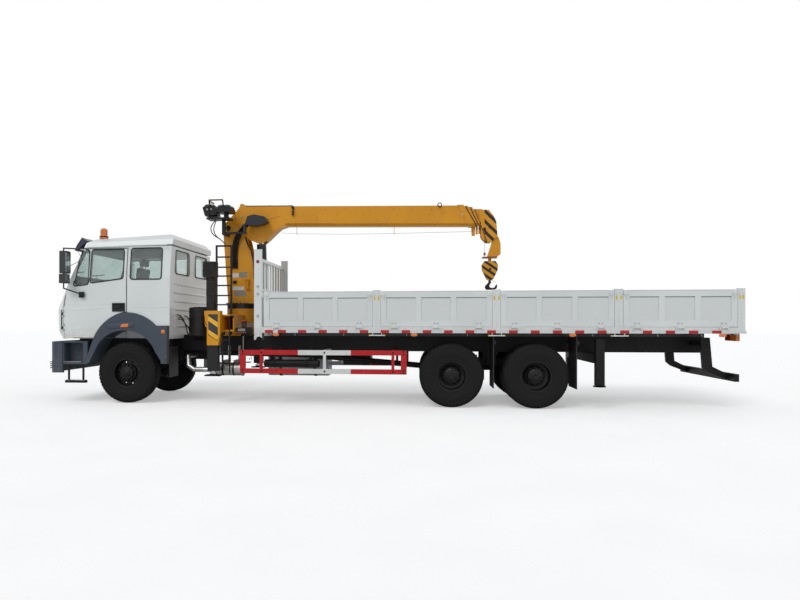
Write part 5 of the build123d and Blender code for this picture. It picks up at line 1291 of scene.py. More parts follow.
straps = []
for strap_x in (-2.09, -1.37):
    band = start_block("fuel_strap", (strap_x - 0.03, 0.512, 0.392), (strap_x + 0.03, 1.148, 0.948))
    trim_corners(band, "yz", 0.092, 6)
    pick(band, "FACE", lambda face: abs(face.normal.x) > 0.9)
    bpy.ops.mesh.inset(thickness=0.004, depth=-0.001)
    round_off(band, 0.002, 1)
    buckle = soft_block("strap_bolt", (strap_x - 0.012, 1.142, 0.65), (strap_x + 0.012, 1.168, 0.69), 0.003)
    straps += [band, buckle]
cap_body = start_drum("tank_cap", (-1.72, 0.7, 0.936), (0, 0, 1), 0.052, 0.04, 28)
press(cap_body, (0, 0, 1), (0.012, -0.006))
round_off(cap_body, 0.004)
assemble("fuel_tank_straps", straps + [cap_body], "root", *CHASSIS_BLACK)

# air drum: its domed ends and the two strap bands
bands = []
for band_x in (-1.9, -1.3):
    bands.append(soft_drum("drum_band", (band_x - 0.02, -0.88, 0.741), (1, 0, 0), 0.077, 0.04, 40, 0.001, 1))
for end_x, outward in ((-2.097, -1), (-1.086, 1)):
    dome = start_drum("drum_end", (end_x, -0.88, 0.741), (outward, 0, 0), 0.066, 0.02, 32)
    pick(dome, "FACE", lambda face: abs(face.normal.x) > 0.9 and (face.center.x - end_x) * outward > 0.01)
    bpy.ops.transform.resize(value=(1, 0.6, 0.6))
    round_off(dome, 0.004)
    bands.append(dome)
assemble("air_drum_bands", bands, "root", *CHASSIS_BLACK)

# battery box: ribbed lid with two toggle latches
ribs = []
for rib_index in range(5):
    x = -0.72 + rib_index * 0.11
    ribs.append(soft_block("lid_rib", (x - 0.014, 0.44, 1.056), (x + 0.014, 0.96, 1.068), 0.004))
for latch_x in (-0.68, -0.32):
    ribs.append(soft_block("lid_latch", (latch_x - 0.02, 0.966, 0.96), (latch_x + 0.02, 0.984, 1.06), 0.004))
assemble("battery_lid", ribs, "root", *TRIM_BLACK)

# air cleaner: louvres in the head, clamp bands on the duct and round the drum
louvres = []
for louvre_index in range(8):
    z = 2.378 + louvre_index * 0.03
    for face_y, out in ((-0.89, -1), (-0.63, 1)):
        slat = start_block("louvre", (-3.27, face_y - 0.005, z), (-3.09, face_y + 0.005, z + 0.012))
        pick(slat, "VERT", lambda co: (co.y - face_y) * out > 0 and co.z > z + 0.006)
        bpy.ops.transform.translate(value=(0, 0, -0.006))
        louvres.append(slat)
assemble("intake_louvres", louvres, "root", *TRIM_BLACK)
clamps = []
for band_z in (1.33, 1.69):
    clamps.append(soft_drum("cleaner_band", (-3.42, -0.64, band_z), (0, 0, 1), 0.214, 0.026, 56, 0.001, 1))
for band_z in (2.01, 2.29):
    clamps.append(
        soft_block("duct_band", (-3.244, -0.834, band_z), (-3.086, -0.646, band_z + 0.022), 0.002, 1)
    )
cover = start_drum("cleaner_cover", (-3.42, -0.64, 1.768), (0, 0, 1), 0.196, 0.018, 48)
press(cover, (0, 0, 1), (0.06, 0.0), (0.01, 0.01))
round_off(cover, 0.003)
clamps.append(cover)
assemble("air_cleaner_bands", clamps, "root", *TRIM_BLACK)


# Silencer: aluminised steel drum with rolled end rings and a black strap, and a bent tail pipe.
aluminised, tree = start_finish("aluminised_steel", "#B4B7B9", 0.34, 1.0)
heat = patches(tree, 160, 0.35, 0.7)
colour_by(tree, blend_colours(tree, heat, "#B9BCBE", "#8F8A82"))
brushed = add_node(
    tree, "ShaderNodeTexNoise", {"Scale": 60, "Detail": 6, "Distortion": 0.2}, {"Vector": place_in(tree)}
)
relief(tree, brushed.outputs[0], 0.2, 0.4)
tree.links.new(ramp(tree, brushed.outputs[0], 0.0, 1.0, 0.26, 0.46), tree.nodes["shader"].inputs["Roughness"])
paint_node("exhaust", aluminised)
rings = []
for ring_x in (-2.985, -2.535):
    ring = start_turned(
        "end_ring", ((-0.014, 0.11), (-0.014, 0.126), (0.0, 0.131), (0.014, 0.126), (0.014, 0.11)), 48
    )
    ring.data.transform(moved((ring_x, -0.8, 0.625), -90, "Z"))
    rings.append(ring)
assemble("silencer_rings", rings, "root", aluminised, "exhaust_steel")
straps = []
for strap_x in (-2.9, -2.7):
    straps.append(
        soft_drum("silencer_strap", (strap_x - 0.016, -0.8, 0.625), (1, 0, 0), 0.1245, 0.032, 48, 0.001, 1)
    )
assemble("silencer_straps", straps, "root", *CHASSIS_BLACK)


# Side guards: folded steel rails painted in red and white lengths that change halfway between
# the uprights, bolted at their corners.
guard_paint, tree = start_finish("red_and_white_guard_enamel", "#BC101B", 0.4, specular_ior_level=0.3)
white_to = maths(tree, "LESS_THAN", part_of(tree, 0), -0.464)
white_part = both_of(tree, beyond(tree, 0, -1.419), white_to)
enamel = blend_colours(
    tree, white_part, blend_colours(tree, patches(tree, 200), "#B50D18", "#C3121E"),
    blend_colours(tree, patches(tree, 200), "#D9DAD8", "#E3E4E2")
)
colour_by(tree, blend_colours(tree, upward_dust(tree, 70, 0.35), enamel, "#8C8074"))
relief(tree, patches(tree, 5, 0.3, 0.7, 1.0), 0.1, 0.4)
paint_node("side_guards", guard_paint)
corner_bolts = []
for end_x in (-2.438, 0.477):
    for z in (0.598, 0.646, 0.934, 0.982):
        corner_bolts.append((end_x, -1.2155, z))
for upright_x in (-2.096, -0.937, 0.286):
    for z in (0.622, 0.958):
        corner_bolts.append((upright_x, -1.2155, z))
heads_both_sides("guard_bolts", corner_bolts, (0, -1, 0), 0.022, 0.008, "root", stud_steel, "jack_steel")


# Flatbed: folded and pressed steel in white enamel, chequered on the deck, with road dirt along its lower rail.
# Shade is painted into the enamel: the recessed skin a little darker, a dark line along the recesses' tops, and
# black under the rail. The drop sides hang on pins and are latched to the posts.
bed_enamel, tree = start_finish("bed_enamel", "#DFE3E2", 0.36, coat_weight=0.3, coat_roughness=0.15)
aged = blend_colours(tree, patches(tree, 900), "#E1E5E4", "#D8DDDC")
rail_dirt = both_of(tree, height_share(tree, 1.26, 1.46), patches(tree, 70, 0.35, 0.75))
dirty = blend_colours(tree, rail_dirt, aged, "#B5AFA2")
inside_share = maths(tree, "SUBTRACT", 1.0, beyond(tree, 1, 1.2, True))
# painted shade: the skin set back inside the recesses is drawn a little darker, and a thin dark line along their
# top edges stands for the shadow there
skin_share = maths(tree, "SUBTRACT", 1.0, beyond(tree, 1, 1.2425, True))
recess_shadow_band = both_of(tree, beyond(tree, 2, 1.929), height_share(tree, 1.9425, 1.943))
recess_shaded = blend_colours(tree, both_of(tree, skin_share, beyond(tree, 2, 1.5)), dirty, "#D9DDDC")
recess_shadowed = blend_colours(tree, both_of(tree, skin_share, recess_shadow_band), recess_shaded, "#868B89")
# painted shade: the frame below the rail is drawn black as the shade under the bed, the headboard's posts
# excepted
under_rail_shade = both_of(tree, height_share(tree, 1.313, 1.3135), beyond(tree, 0, -2.07))
worn = both_of(tree, both_of(tree, inside_share, height_share(tree, 1.43, 1.75)), patches(tree, 260))
painted = blend_colours(tree, worn, recess_shadowed, "#BAB9B4")
colour_by(tree, blend_colours(tree, under_rail_shade, painted, "#0E0F10"))
chequer_mm = 40
along = waves(tree, "DIAGONAL", 1000 / chequer_mm / math.tau * 1.4)
flipped = add_node(tree, "ShaderNodeMapping", {"Scale": (1, -1, 1)}, {"Vector": place_in(tree)})
across = waves(tree, "DIAGONAL", 1000 / chequer_mm / math.tau * 1.4, flipped.outputs[0])
diamonds = both_of(tree, along, across)
deck_share = both_of(tree, inside_share, height_share(tree, 1.422, 1.43))
relief(tree, both_of(tree, diamonds, deck_share), 1.2, 0.9)
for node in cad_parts:
    if node.startswith(("bed_frame", "tailgate", "drop_side_")):
        paint_node(node, bed_enamel)

zinc_steel, tree = start_finish("zinc_plated_steel", "#A7A9A8", 0.36, 0.9, mottle=("#9B9D9C", "#B7B9B6", 12))
yellow_tag, tree = start_finish("yellow_plastic", "#E3C21A", 0.4, mottle=("#D9B70F", "#EBCB2A", 20))
red_tape, tree = start_finish("red_reflective_tape", "#B50D16", 0.35, coat_weight=0.1)
colour_by(tree, blend_colours(tree, cells(tree, 4), "#A30B13", "#C4111B"))
white_tape, tree = start_finish("white_reflective_tape", "#D7DADB", 0.22, coat_weight=0.5)
colour_by(tree, blend_colours(tree, cells(tree, 4), "#C3C8CA", "#E4E6E6"))


def strip(name, low, high, finish, slot, body="root", width=0.0004):
    """A thin flat piece stuck on a surface, with softened edges."""
    piece = soft_block(name, low, high, width, 1)
    fix_on(piece, body, finish, slot)
    return piece


def wire_ring(radius, thickness, steps, sides, spot, degrees, axis):
    """A ring of round wire, turned by degrees about an axis and set on its spot."""
    deselect_all()
    bpy.ops.mesh.primitive_torus_add(
        major_radius=radius, minor_radius=thickness, major_segments=steps, minor_segments=sides
    )
    ring = bpy.context.object
    ring.data.transform(moved(spot, degrees, axis))
    return ring


# reflective tape along the side rails: a red length every 370 mm with white between
rail_rear = 6.146
reds, whites = [], []
red_starts = [-2.017] + [-1.779 + 0.37 * k for k in range(22) if -1.779 + 0.37 * k < rail_rear - 0.18]
for start_x, next_x in zip(red_starts, red_starts[1:] + [rail_rear + 0.02]):
    red = start_block("red_tape", (start_x, -1.2512, 1.3145), (start_x + 0.15, -1.2498, 1.3655))
    reds.append(red)
    white = start_block("white_tape", (start_x + 0.152, -1.2512, 1.3145), (next_x - 0.002, -1.2498, 1.3655))
    whites.append(white)
for tape_name, pieces, finish in (("red_tape", reds, red_tape), ("white_tape", whites, white_tape)):
    both_sides(tape_name, pieces, "root", finish, "bed_white")

# side marker lamps under the rail, each on a folded bracket, and rope hooks between them
lamp_bodies, brackets = [], []
for lamp_x in (-1.816, 0.66, 3.36, 5.787):
    lamp = start_block("marker", (lamp_x - 0.056, -1.262, 1.262), (lamp_x + 0.056, -1.244, 1.306))
    press(lamp, (0, -1, 0), (0.004, 0.004))
    round_off(lamp, 0.005, 3)
    lamp_bodies.append(lamp)
    brackets.append(
        soft_block("bracket", (lamp_x - 0.03, -1.244, 1.256), (lamp_x + 0.03, -1.24, 1.316), 0.001, 1)
    )
both_sides("side_markers", lamp_bodies, "root", *LENS_AMBER)
for hook_x in (-1.471, -0.59, 0.529, 1.588, 3.694, 4.761, 5.471):
    rope_hook = wire_ring(0.022, 0.0055, 20, 8, (hook_x, -1.222, 1.286), 90, "Y")
    pick(rope_hook, "VERT", lambda co: co.z > 1.287 and co.y < -1.222)
    bpy.ops.mesh.delete(type="VERT")
    smooth_off(rope_hook)
    stalk = start_drum("hook_stalk", (hook_x, -1.2, 1.284), (0, 0, 1), 0.0055, 0.034, 8)
    brackets += [rope_hook, stalk]
ZINC_STEEL = (zinc_steel, "jack_steel")
both_sides("rope_hooks", brackets, "root", *ZINC_STEEL)

# white lashing bars under the posts, with yellow end caps
bar_enamel, tree = start_finish("lashing_bar_enamel", "#E4E7E6", 0.4, mottle=("#D6DAD8", "#E8EBEA", 40))
bars, caps = [], []
for bar_x in (0.008, 2.086, 4.136):
    bar = start_drum("lashing_bar", (bar_x - 0.13, -1.246, 1.272), (1, 0, 0), 0.01, 0.26, 14)
    bars.append(bar)
    for tab_x in (bar_x - 0.08, bar_x + 0.08):
        bars.append(
            soft_block("bar_tab", (tab_x - 0.005, -1.254, 1.266), (tab_x + 0.005, -1.216, 1.318), 0.002, 1)
        )
    for end_x in (bar_x - 0.146, bar_x + 0.12):
        caps.append(soft_drum("bar_cap", (end_x, -1.246, 1.272), (1, 0, 0), 0.013, 0.026, 14, 0.003))
for part_name, pieces, finish in (("lashing_bars", bars, bar_enamel), ("lashing_bar_caps", caps, yellow_tag)):
    both_sides(part_name, pieces, "root", finish, "bed_white")

# each drop side: pressed lips round its recesses, a rolled top edge, hinge bolts and the two
# latches at its ends with their yellow tags
spans = ((-2.036, -0.074), (0.074, 2.008), (2.156, 4.048), (4.196, 6.024))
BED_WHITE = (bed_enamel, "bed_white")
for span_index, (span_start, span_end) in enumerate(spans):
    rider = f"side_left_{span_index + 1}"
    twin_rider = f"side_right_{span_index + 1}"
    recess_width = (span_end - span_start - 4 * 0.096) / 3
    lips = []
    for recess_index in range(3):
        low_x = span_start + 0.096 + recess_index * (recess_width + 0.096)
        lip = start_block(
            "lip", (low_x - 0.014, -1.2535, 1.528), (low_x + recess_width + 0.014, -1.2485, 1.956)
        )
        press(lip, (0, -1, 0), (0.014, 0))
        bpy.ops.mesh.delete(type="FACE")
        pick(lip, "FACE", lambda face: face.normal.y > 0.9)
        bpy.ops.mesh.delete(type="FACE")
        bpy.ops.object.mode_set(mode="OBJECT")
        thick = lip.modifiers.new("thick", "SOLIDIFY")
        thick.thickness = 0.003
        bpy.context.view_layer.objects.active = lip
        bpy.ops.object.modifier_apply(modifier="thick")
        round_off(lip, 0.0012, 1)
        lips.append(lip)
    for z, tall in ((2.0535, 0.01), (1.436, 0.008)):
        lips.append(
            soft_block(
                "fold", (span_start + 0.002, -1.2555, z - tall), (span_end - 0.002, -1.2485, z + 0.0015),
                0.003
            )
        )
    both_sides("pressed_edges", lips, rider, *BED_WHITE, twin_rider, f"_{span_index + 1}")

    bolts, knuckles = [], []
    for hinge_index in range(3):
        strap_x = span_start + (span_end - span_start) * (0.12 + 0.38 * hinge_index)
        bolts += [(strap_x - 0.026, -1.2638, 1.484), (strap_x + 0.026, -1.2638, 1.484)]
        knuckles.append(
            soft_drum("knuckle", (strap_x - 0.046, -1.27, 1.416), (1, 0, 0), 0.0165, 0.092, 20, 0.002, 1)
        )
    both_sides("hinge_knuckles", knuckles, rider, *BED_WHITE, twin_rider, f"_{span_index + 1}")
    heads = hex_heads(
        f"hinge_bolts_left_{span_index + 1}", bolts, (0, -1, 0), 0.017, 0.007, rider, zinc_steel, "bed_white"
    )
    mirrored(heads, f"hinge_bolts_right_{span_index + 1}", twin_rider, zinc_steel, "bed_white")

    latches = []
    for end_x, inward in ((span_start, 1), (span_end, -1)):
        middle_x = end_x + inward * 0.048
        case = start_block("latch_case", (middle_x - 0.044, -1.264, 1.968), (middle_x + 0.044, -1.249, 2.044))
        pick(
            case, "EDGE", lambda a,
            b: abs(a.x - b.x) < 1e-5 and abs(a.z - b.z) < 1e-5 and (a.x - middle_x) * inward > 0
        )
        bpy.ops.mesh.bevel(offset=0.034, segments=5)
        round_off(case, 0.003)
        lever = start_block(
            "latch_lever", (middle_x - 0.012, -1.272, 1.905), (middle_x + 0.012, -1.262, 2.015)
        )
        pick(lever, "VERT", lambda co: co.z < 1.92)
        bpy.ops.transform.resize(value=(0.7, 1, 1))
        round_off(lever, 0.004, 3)
        pivot = start_drum("latch_pivot", (middle_x, -1.262, 1.998), (0, -1, 0), 0.009, 0.014, 14)
        latches += [case, lever, pivot]
    both_sides("latches", latches, rider, *BED_WHITE, twin_rider, f"_{span_index + 1}")

# the posts: a welded cap and a shaped striker plate for the latches on each side
strikers, tags = [], []
for post_x, half in ((0.0, 0.068), (2.082, 0.068), (4.122, 0.068), (6.088, 0.056)):
    strikers.append(
        soft_block(
            "post_cap", (post_x - half - 0.004, -1.254, 2.066), (post_x + half + 0.004, -1.19, 2.074), 0.003
        )
    )
    for plate_x in (post_x - half + 0.03, post_x + half - 0.03):
        strikers.append(
            soft_block("striker", (plate_x - 0.012, -1.26, 1.972), (plate_x + 0.012, -1.249, 2.038), 0.003)
        )
        tags.append(
            soft_block(
                "latch_tag", (plate_x - 0.014, -1.2545, 1.894), (plate_x + 0.014, -1.2498, 1.956), 0.002, 1
            )
        )
    strikers.append(
        soft_block("post_fold", (post_x - 0.008, -1.2545, 1.44), (post_x + 0.008, -1.249, 1.95), 0.0025)
    )
both_sides("post_fittings", strikers, "root", *BED_WHITE)
both_sides("post_tags", tags, "root", yellow_tag, "bed_white")

# headboard: a cap and a gusset on each tall post, rope rings and red reflectors
trims, rings, eyes = [], [], []
trims.append(soft_block("headboard_cap", (-2.222, -1.256, 2.811), (-2.072, -1.184, 2.822), 0.004))
gusset = start_block("headboard_gusset", (-2.08, -1.248, 1.96), (-2.04, -1.196, 2.05))
pick(gusset, "VERT", lambda co: co.x > -2.06 and co.z > 2.0)
bpy.ops.transform.translate(value=(-0.03, 0, 0))
round_off(gusset, 0.004)
trims.append(gusset)
for ring_z in (2.155, 2.02, 1.62):
    plate = soft_drum("ring_plate", (-2.147, -1.25, ring_z), (0, -1, 0), 0.024, 0.005, 20, 0.001, 1)
    eye = wire_ring(0.02, 0.0045, 20, 8, (-2.147, -1.2585, ring_z - 0.008), 80, "X")
    smooth_off(eye)
    rings += [plate, eye]
bezel = soft_drum("reflector_bezel", (-2.147, -1.25, 2.6), (0, -1, 0), 0.03, 0.007, 24, 0.002)
lens = soft_drum("reflector_lens", (-2.147, -1.256, 2.6), (0, -1, 0), 0.024, 0.004, 24, 0.002)
for part_name, pieces, finish, slot in (
    ("headboard_trims", trims, *BED_WHITE), ("headboard_rings", rings, *ZINC_STEEL),
    ("reflector_bezel", [bezel], *TRIM_BLACK), ("headboard_reflector", [lens], red_lens, "lamp_plastic")
):
    both_sides(part_name, pieces, "root", finish, slot)

# tailgate: pressed lips, rolled top, latches at its ends and bolts through its hinge straps
lips = []
for recess_y in (-0.76, 0.0, 0.76):
    for z, tall in ((1.535, 0.01), (1.949, 0.01)):
        lips.append(
            soft_block(
                "lip", (6.1445, recess_y - 0.33, z - tall / 2), (6.15, recess_y + 0.33, z + tall / 2), 0.003
            )
        )
    for y in (recess_y - 0.327, recess_y + 0.327):
        lips.append(soft_block("lip", (6.1445, y - 0.005, 1.535), (6.15, y + 0.005, 1.949), 0.003))
lips.append(soft_block("fold", (6.1445, -1.184, 2.044), (6.1515, 1.184, 2.055), 0.003))
for latch_side in (-1, 1):
    case = soft_block(
        "case", (6.145, latch_side * 1.14 - 0.03, 1.972), (6.158, latch_side * 1.14 + 0.03, 2.038), 0.004
    )
    lever = soft_block(
        "lever", (6.158, latch_side * 1.14 - 0.012, 1.905), (6.168, latch_side * 1.14 + 0.012, 2.015), 0.004
    )
    lips += [case, lever]
assemble("tailgate_pressed_edges", lips, "tailgate", *BED_WHITE)
bolts = [(6.16, y + dy, 1.484) for y in (-0.8, 0.0, 0.8) for dy in (-0.026, 0.026)]
hex_heads("tailgate_hinge_bolts", bolts, (1, 0, 0), 0.017, 0.007, "tailgate", zinc_steel, "bed_white")


# Crane base, outriggers and ladders: welded plate in yellow-orange enamel, with black jack legs,
# ladders and lever banks. The hazard plates are riveted to the caps of the outrigger beams.
def crane_coat(name, black_share=None):
    """Yellow crane enamel with rubbed smudges; black_share says where it is painted black."""
    coat, tree = start_finish(name, "#DC9212", 0.4, coat_weight=0.12, specular_ior_level=0.35)
    aged = blend_colours(tree, patches(tree, 700), "#E29B18", "#D69114")
    smudges = both_of(tree, patches(tree, 90, 0.58, 0.8), patches(tree, 25))
    colour = blend_colours(tree, smudges, aged, "#AC701E")
    if black_share:
        colour = blend_colours(tree, black_share(tree), colour, "#0E0F10")
    colour_by(tree, colour)
    relief(tree, patches(tree, 6), 0.05, 0.3)
    return coat


def diagonals(tree, slope, centre, period, share):
    """1 on bands that fall to the rear, one band centred where z + slope x is centre."""
    leaned = maths(tree, "MULTIPLY_ADD", part_of(tree, 0), slope, part_of(tree, 2))
    turns = maths(tree, "MULTIPLY_ADD", leaned, 1 / period, share / 2 - centre / period + 100)
    return maths(tree, "LESS_THAN", maths(tree, "FRACT", turns), share)


def leg_share(tree):
    """The jack legs, below the caps at the truck's sides."""
    return both_of(tree, height_share(tree, 1.084, 1.085), beyond(tree, 1, 1.05, True))


crane_enamel = crane_coat("crane_enamel")
beam_enamel = crane_coat("outrigger_enamel", leg_share)
paint_node("crane_base", crane_enamel)
paint_node("outrigger_beam_left", beam_enamel)
paint_node("outrigger_beam_right", beam_enamel)

jack_chrome, tree = start_finish("ground_jack_rod", "#B9BCBE", 0.16, 1.0)
foot_share = height_share(tree, 0.56, 0.566)
rod_colour = blend_colours(tree, patches(tree, 30), "#AEB1B3", "#C4C7C9")
colour_by(tree, blend_colours(tree, foot_share, rod_colour, "#141516"))
tree.links.new(ramp(tree, foot_share, 0.0, 1.0, 0.16, 0.55), tree.nodes["shader"].inputs["Roughness"])
for foot in ("outrigger_foot_left", "outrigger_foot_right", "rear_foot_left", "rear_foot_right"):
    paint_node(foot, jack_chrome)

ladder_enamel, tree = start_finish("ladder_enamel", "#101113", 0.45, specular_ior_level=0.3)
worn = blend_colours(tree, patches(tree, 60, 0.6, 0.8), "#0F1012", "#2C2C2C")
knob_height = both_of(tree, beyond(tree, 2, 1.506), height_share(tree, 1.55, 1.551))
knob_share = both_of(tree, knob_height, beyond(tree, 0, -2.66))
colour_by(tree, blend_colours(tree, knob_share, worn, "#C4472A"))
relief(tree, patches(tree, 5), 0.08, 0.3)
paint_node("ladders_controls", ladder_enamel)

hazard_paint, tree = start_finish("hazard_plate", "#15161A", 0.3, coat_weight=0.4)
bands = diagonals(tree, 0.647, -0.4135, 0.2425, 0.37)
inked = blend_colours(tree, patches(tree, 40), "#131418", "#1D1E22")
colour_by(tree, blend_colours(tree, bands, inked, "#EDB716"))
blank_white, tree = start_finish("blank_white_plate", "#D9D9D4", 0.4, mottle=("#D2D2CD", "#DEDEDA", 30))
blank_grey, tree = start_finish(
    "blank_aluminium_plate", "#8A8A84", 0.4, 0.5, mottle=("#7F7F7A", "#94948E", 25)
)
knob_plastic, tree = start_finish("knob_plastic", "#C4502F", 0.3, mottle=("#B9432A", "#D07A4A", 12))

# the hazard plate of a cap, cut on the slant at its foot, with four rivets
hazard = start_block("hazard_plate_left", (-3.068, -1.2516, 1.161), (-2.89, -1.2498, 1.65))
pick(hazard, "VERT", lambda co: co.x < -3.0 and co.z < 1.3)
bpy.ops.transform.translate(value=(0, 0, 0.106))
round_off(hazard, 0.0005, 1)
fix_both(hazard, "hazard_plate_right", "outrigger_left", hazard_paint, "crane_yellow", "outrigger_right")
rivets = [
    (-3.056, -1.2514, 1.636), (-2.902, -1.2514, 1.636), (-3.056, -1.2514, 1.285), (-2.902, -1.2514, 1.192)
]
heads_both_sides(
    "hazard_rivets", rivets, (0, -1, 0), 0.01, 0.003, "outrigger_left", stud_steel, "crane_yellow",
    "outrigger_right"
)

# a rolled guard round the head of the cap, the collar where the jack leaves it, and a lock pin
guard_line = rounded(
    [(-3.128, -1.242, 1.42), (-3.128, -1.242, 1.706), (-2.862, -1.242, 1.706), (-2.862, -1.242, 1.42)], 0.05
)
CRANE_YELLOW = (crane_enamel, "crane_yellow")
guard = bead("cap_guard_left", guard_line, 0.0085, "outrigger_left", *CRANE_YELLOW, False)
mirrored(guard, "cap_guard_right", "outrigger_right", *CRANE_YELLOW)
collar_pieces = []
for collar_z, tall in ((1.072, 0.026), (0.64, 0.02)):
    collar_pieces.append(
        soft_block("leg_collar", (-3.094, -1.2445, collar_z - tall), (-2.888, -1.104, collar_z), 0.004)
    )
for side_x in (-3.0935, -2.8885):
    weld = start_drum("leg_weld", (side_x, -1.2375, 0.665), (0, 0, 1), 0.0045, 0.38, 8)
    collar_pieces.append(weld)
LADDER_BLACK = (ladder_enamel, "ladder_black")
collars = assemble("leg_collars_left", collar_pieces, "outrigger_left", *LADDER_BLACK)
mirrored(collars, "leg_collars_right", "outrigger_right", *LADDER_BLACK)
heads_both_sides(
    "leg_bolts", [(x, -1.2385, z) for x in (-3.055, -2.927) for z in (1.01, 0.7)], (0, -1, 0), 0.02, 0.009,
    "outrigger_left", stud_steel, "ladder_black", "outrigger_right"
)

# box mouth frames, base clamps over the chassis rails with their long studs and nuts
frames = []
for mouth_x in (-2.951, -2.749):
    for low, high in (
        ((mouth_x - 0.098, -1.0895, 1.617), (mouth_x + 0.098, -1.07, 1.633)),
        ((mouth_x - 0.098, -1.0895, 1.347), (mouth_x + 0.098, -1.07, 1.363))
    ):
        frames.append(soft_block("mouth_lip", low, high, 0.003))
both_sides("box_mouths", frames, "root", *CRANE_YELLOW)
studs = []
for stud_x in (-3.085, -2.62):
    for stud_y in (-0.47, 0.47):
        rod = start_drum("clamp_stud", (stud_x, stud_y, 0.9), (0, 0, 1), 0.012, 0.47, 12)
        foot = soft_block(
            "clamp_foot", (stud_x - 0.035, stud_y - 0.08, 0.915), (stud_x + 0.035, stud_y + 0.08, 0.935),
            0.004
        )
        nut = start_drum("clamp_nut", (stud_x, stud_y, 0.897), (0, 0, 1), 0.02, 0.018, 6)
        studs += [rod, foot, nut]
assemble("base_clamps", studs, "root", *ZINC_STEEL)

# lever banks: a blank label plate and a row of spool knobs on each side
label = strip(
    "lever_label_left", (-2.59, -0.9912, 1.338), (-2.45, -0.9898, 1.386), blank_grey, "ladder_black"
)
mirrored(label, "lever_label_right", "root", blank_grey, "ladder_black")
knobs = []
for knob_index in range(5):
    knobs.append(
        soft_drum(
            "spool_knob", (-2.6 + 0.04 * knob_index, -0.989, 1.312), (0, -1, 0), 0.011, 0.026, 16, 0.004
        )
    )
both_sides("spool_knobs", knobs, "root", knob_plastic, "ladder_black")

# the lower ladder's long stile with its hand hook at the top
stile_line = rounded([(-2.69, -1.184, 0.56), (-2.69, -1.184, 1.628), (-2.61, -1.184, 1.628)], 0.045)
bead("ladder_stile", stile_line, 0.0125, "root", *LADDER_BLACK, False)


# Column: a welded box tapering upwards on a black slewing ring. Blank plates, a lamp socket and a
# tool tube are screwed to its sides; the operator's stand hangs at its top.
def ring_share(tree):
    """The slewing ring under the column."""
    return height_share(tree, 1.8712, 1.8718)


paint_node("crane_column", crane_coat("column_enamel", ring_share))

stand_enamel, tree = start_finish("stand_enamel", "#0F1012", 0.42, specular_ior_level=0.3)
darker = blend_colours(tree, patches(tree, 80), "#0E0F11", "#17181B")
colour_by(tree, blend_colours(tree, beyond(tree, 0, -2.62), darker, "#2A2D34"))
relief(tree, patches(tree, 4), 0.06, 0.3)
paint_node("operator_seat", stand_enamel)

for plate_name, low_x, high_x, low_z, high_z, finish in (
    ("column_plate_1", -2.913, -2.786, 2.385, 2.468, blank_white),
    ("column_plate_2", -2.776, -2.616, 2.385, 2.49, blank_grey),
    ("column_plate_3", -2.935, -2.68, 2.137, 2.205, blank_white),
    ("column_plate_4", -2.87, -2.638, 2.012, 2.122, blank_grey)
):
    plate = strip(
        f"{plate_name}_left", (low_x, -0.1866, low_z), (high_x, -0.1848, high_z), finish, "crane_yellow",
        "crane"
    )
    mirrored(plate, f"{plate_name}_right", "crane", finish, "crane_yellow")

socket = start_block("lamp_socket", (-2.9, -0.205, 2.262), (-2.825, -0.184, 2.322))
press(socket, (0, -1, 0), (0.01, -0.01))
round_off(socket, 0.006, 3)
fix_on(socket, "crane", *TRIM_BLACK)
tube = soft_drum("tool_tube", (-2.6, -0.215, 2.15), (0, 0, 1), 0.02, 0.17, 20, 0.005)
fix_on(tube, "crane", *CRANE_YELLOW)
rings = []
for ring_z in (2.345, 2.3, 2.17):
    band = start_block("tube_band", (-2.645, -0.24, ring_z - 0.01), (-2.56, -0.184, ring_z + 0.006))
    press(band, (0, 0, 1), (0.006, 0))
    round_off(band, 0.004)
    rings.append(band)
assemble("tool_tube_bands", rings, "crane", *CRANE_YELLOW)

# bolts round the slewing ring's foot and its upper flange
ring_bolts = [
    (-2.8 + 0.275 * math.cos(math.tau * i / 24), 0.275 * math.sin(math.tau * i / 24), 1.8715)
    for i in range(24)
]
hex_heads("ring_bolts", ring_bolts, (0, 0, 1), 0.024, 0.014, "crane", stud_steel, "crane_yellow")

# pivot pin of the boom: cap, keeper plate and bolts on both cheeks
pivot_parts = []
cap = soft_drum("pivot_cap", (-2.997, -0.184, 3.362), (0, -1, 0), 0.05, 0.012, 32, 0.003)
keeper = soft_block("pivot_keeper", (-3.02, -0.204, 3.3), (-2.974, -0.195, 3.338), 0.003)
pivot_parts += [cap, keeper]
both_sides("boom_pivot", pivot_parts, "crane", *LADDER_BLACK)

# operator's console: two dials and a row of levers with knobs
dials, levers, balls = [], [], []
for dial_x in (-3.285, -3.205):
    dial = start_drum("dial", (dial_x, -0.639, 3.668), (0, -1, 0), 0.02, 0.01, 28)
    press(dial, (0, -1, 0), (0.005, -0.004))
    round_off(dial, 0.0015, 1)
    dials.append(dial)
assemble("console_dials", dials, "crane", blank_grey, "ladder_black")
for lever_index in range(6):
    lever_y = -0.61 + 0.048 * lever_index
    stick = start_drum("stick", (-3.24, lever_y, 3.758), (0.12, 0, 1), 0.0045, 0.06, 10)
    levers.append(stick)
    deselect_all()
    bpy.ops.mesh.primitive_uv_sphere_add(
        segments=16, ring_count=10, radius=0.012, location=(-3.233, lever_y, 3.824)
    )
    ball = bpy.context.object
    bpy.ops.object.transform_apply(location=True, rotation=True, scale=True)
    pick(ball, "VERT", lambda co: co.z < 3.815)
    bpy.ops.transform.resize(value=(0.6, 0.6, 1.0))
    smooth_off(ball)
    balls.append(ball)
assemble("console_sticks", levers, "crane", stud_steel, "jack_steel")
assemble("console_knobs", balls, "crane", knob_plastic, "ladder_black")

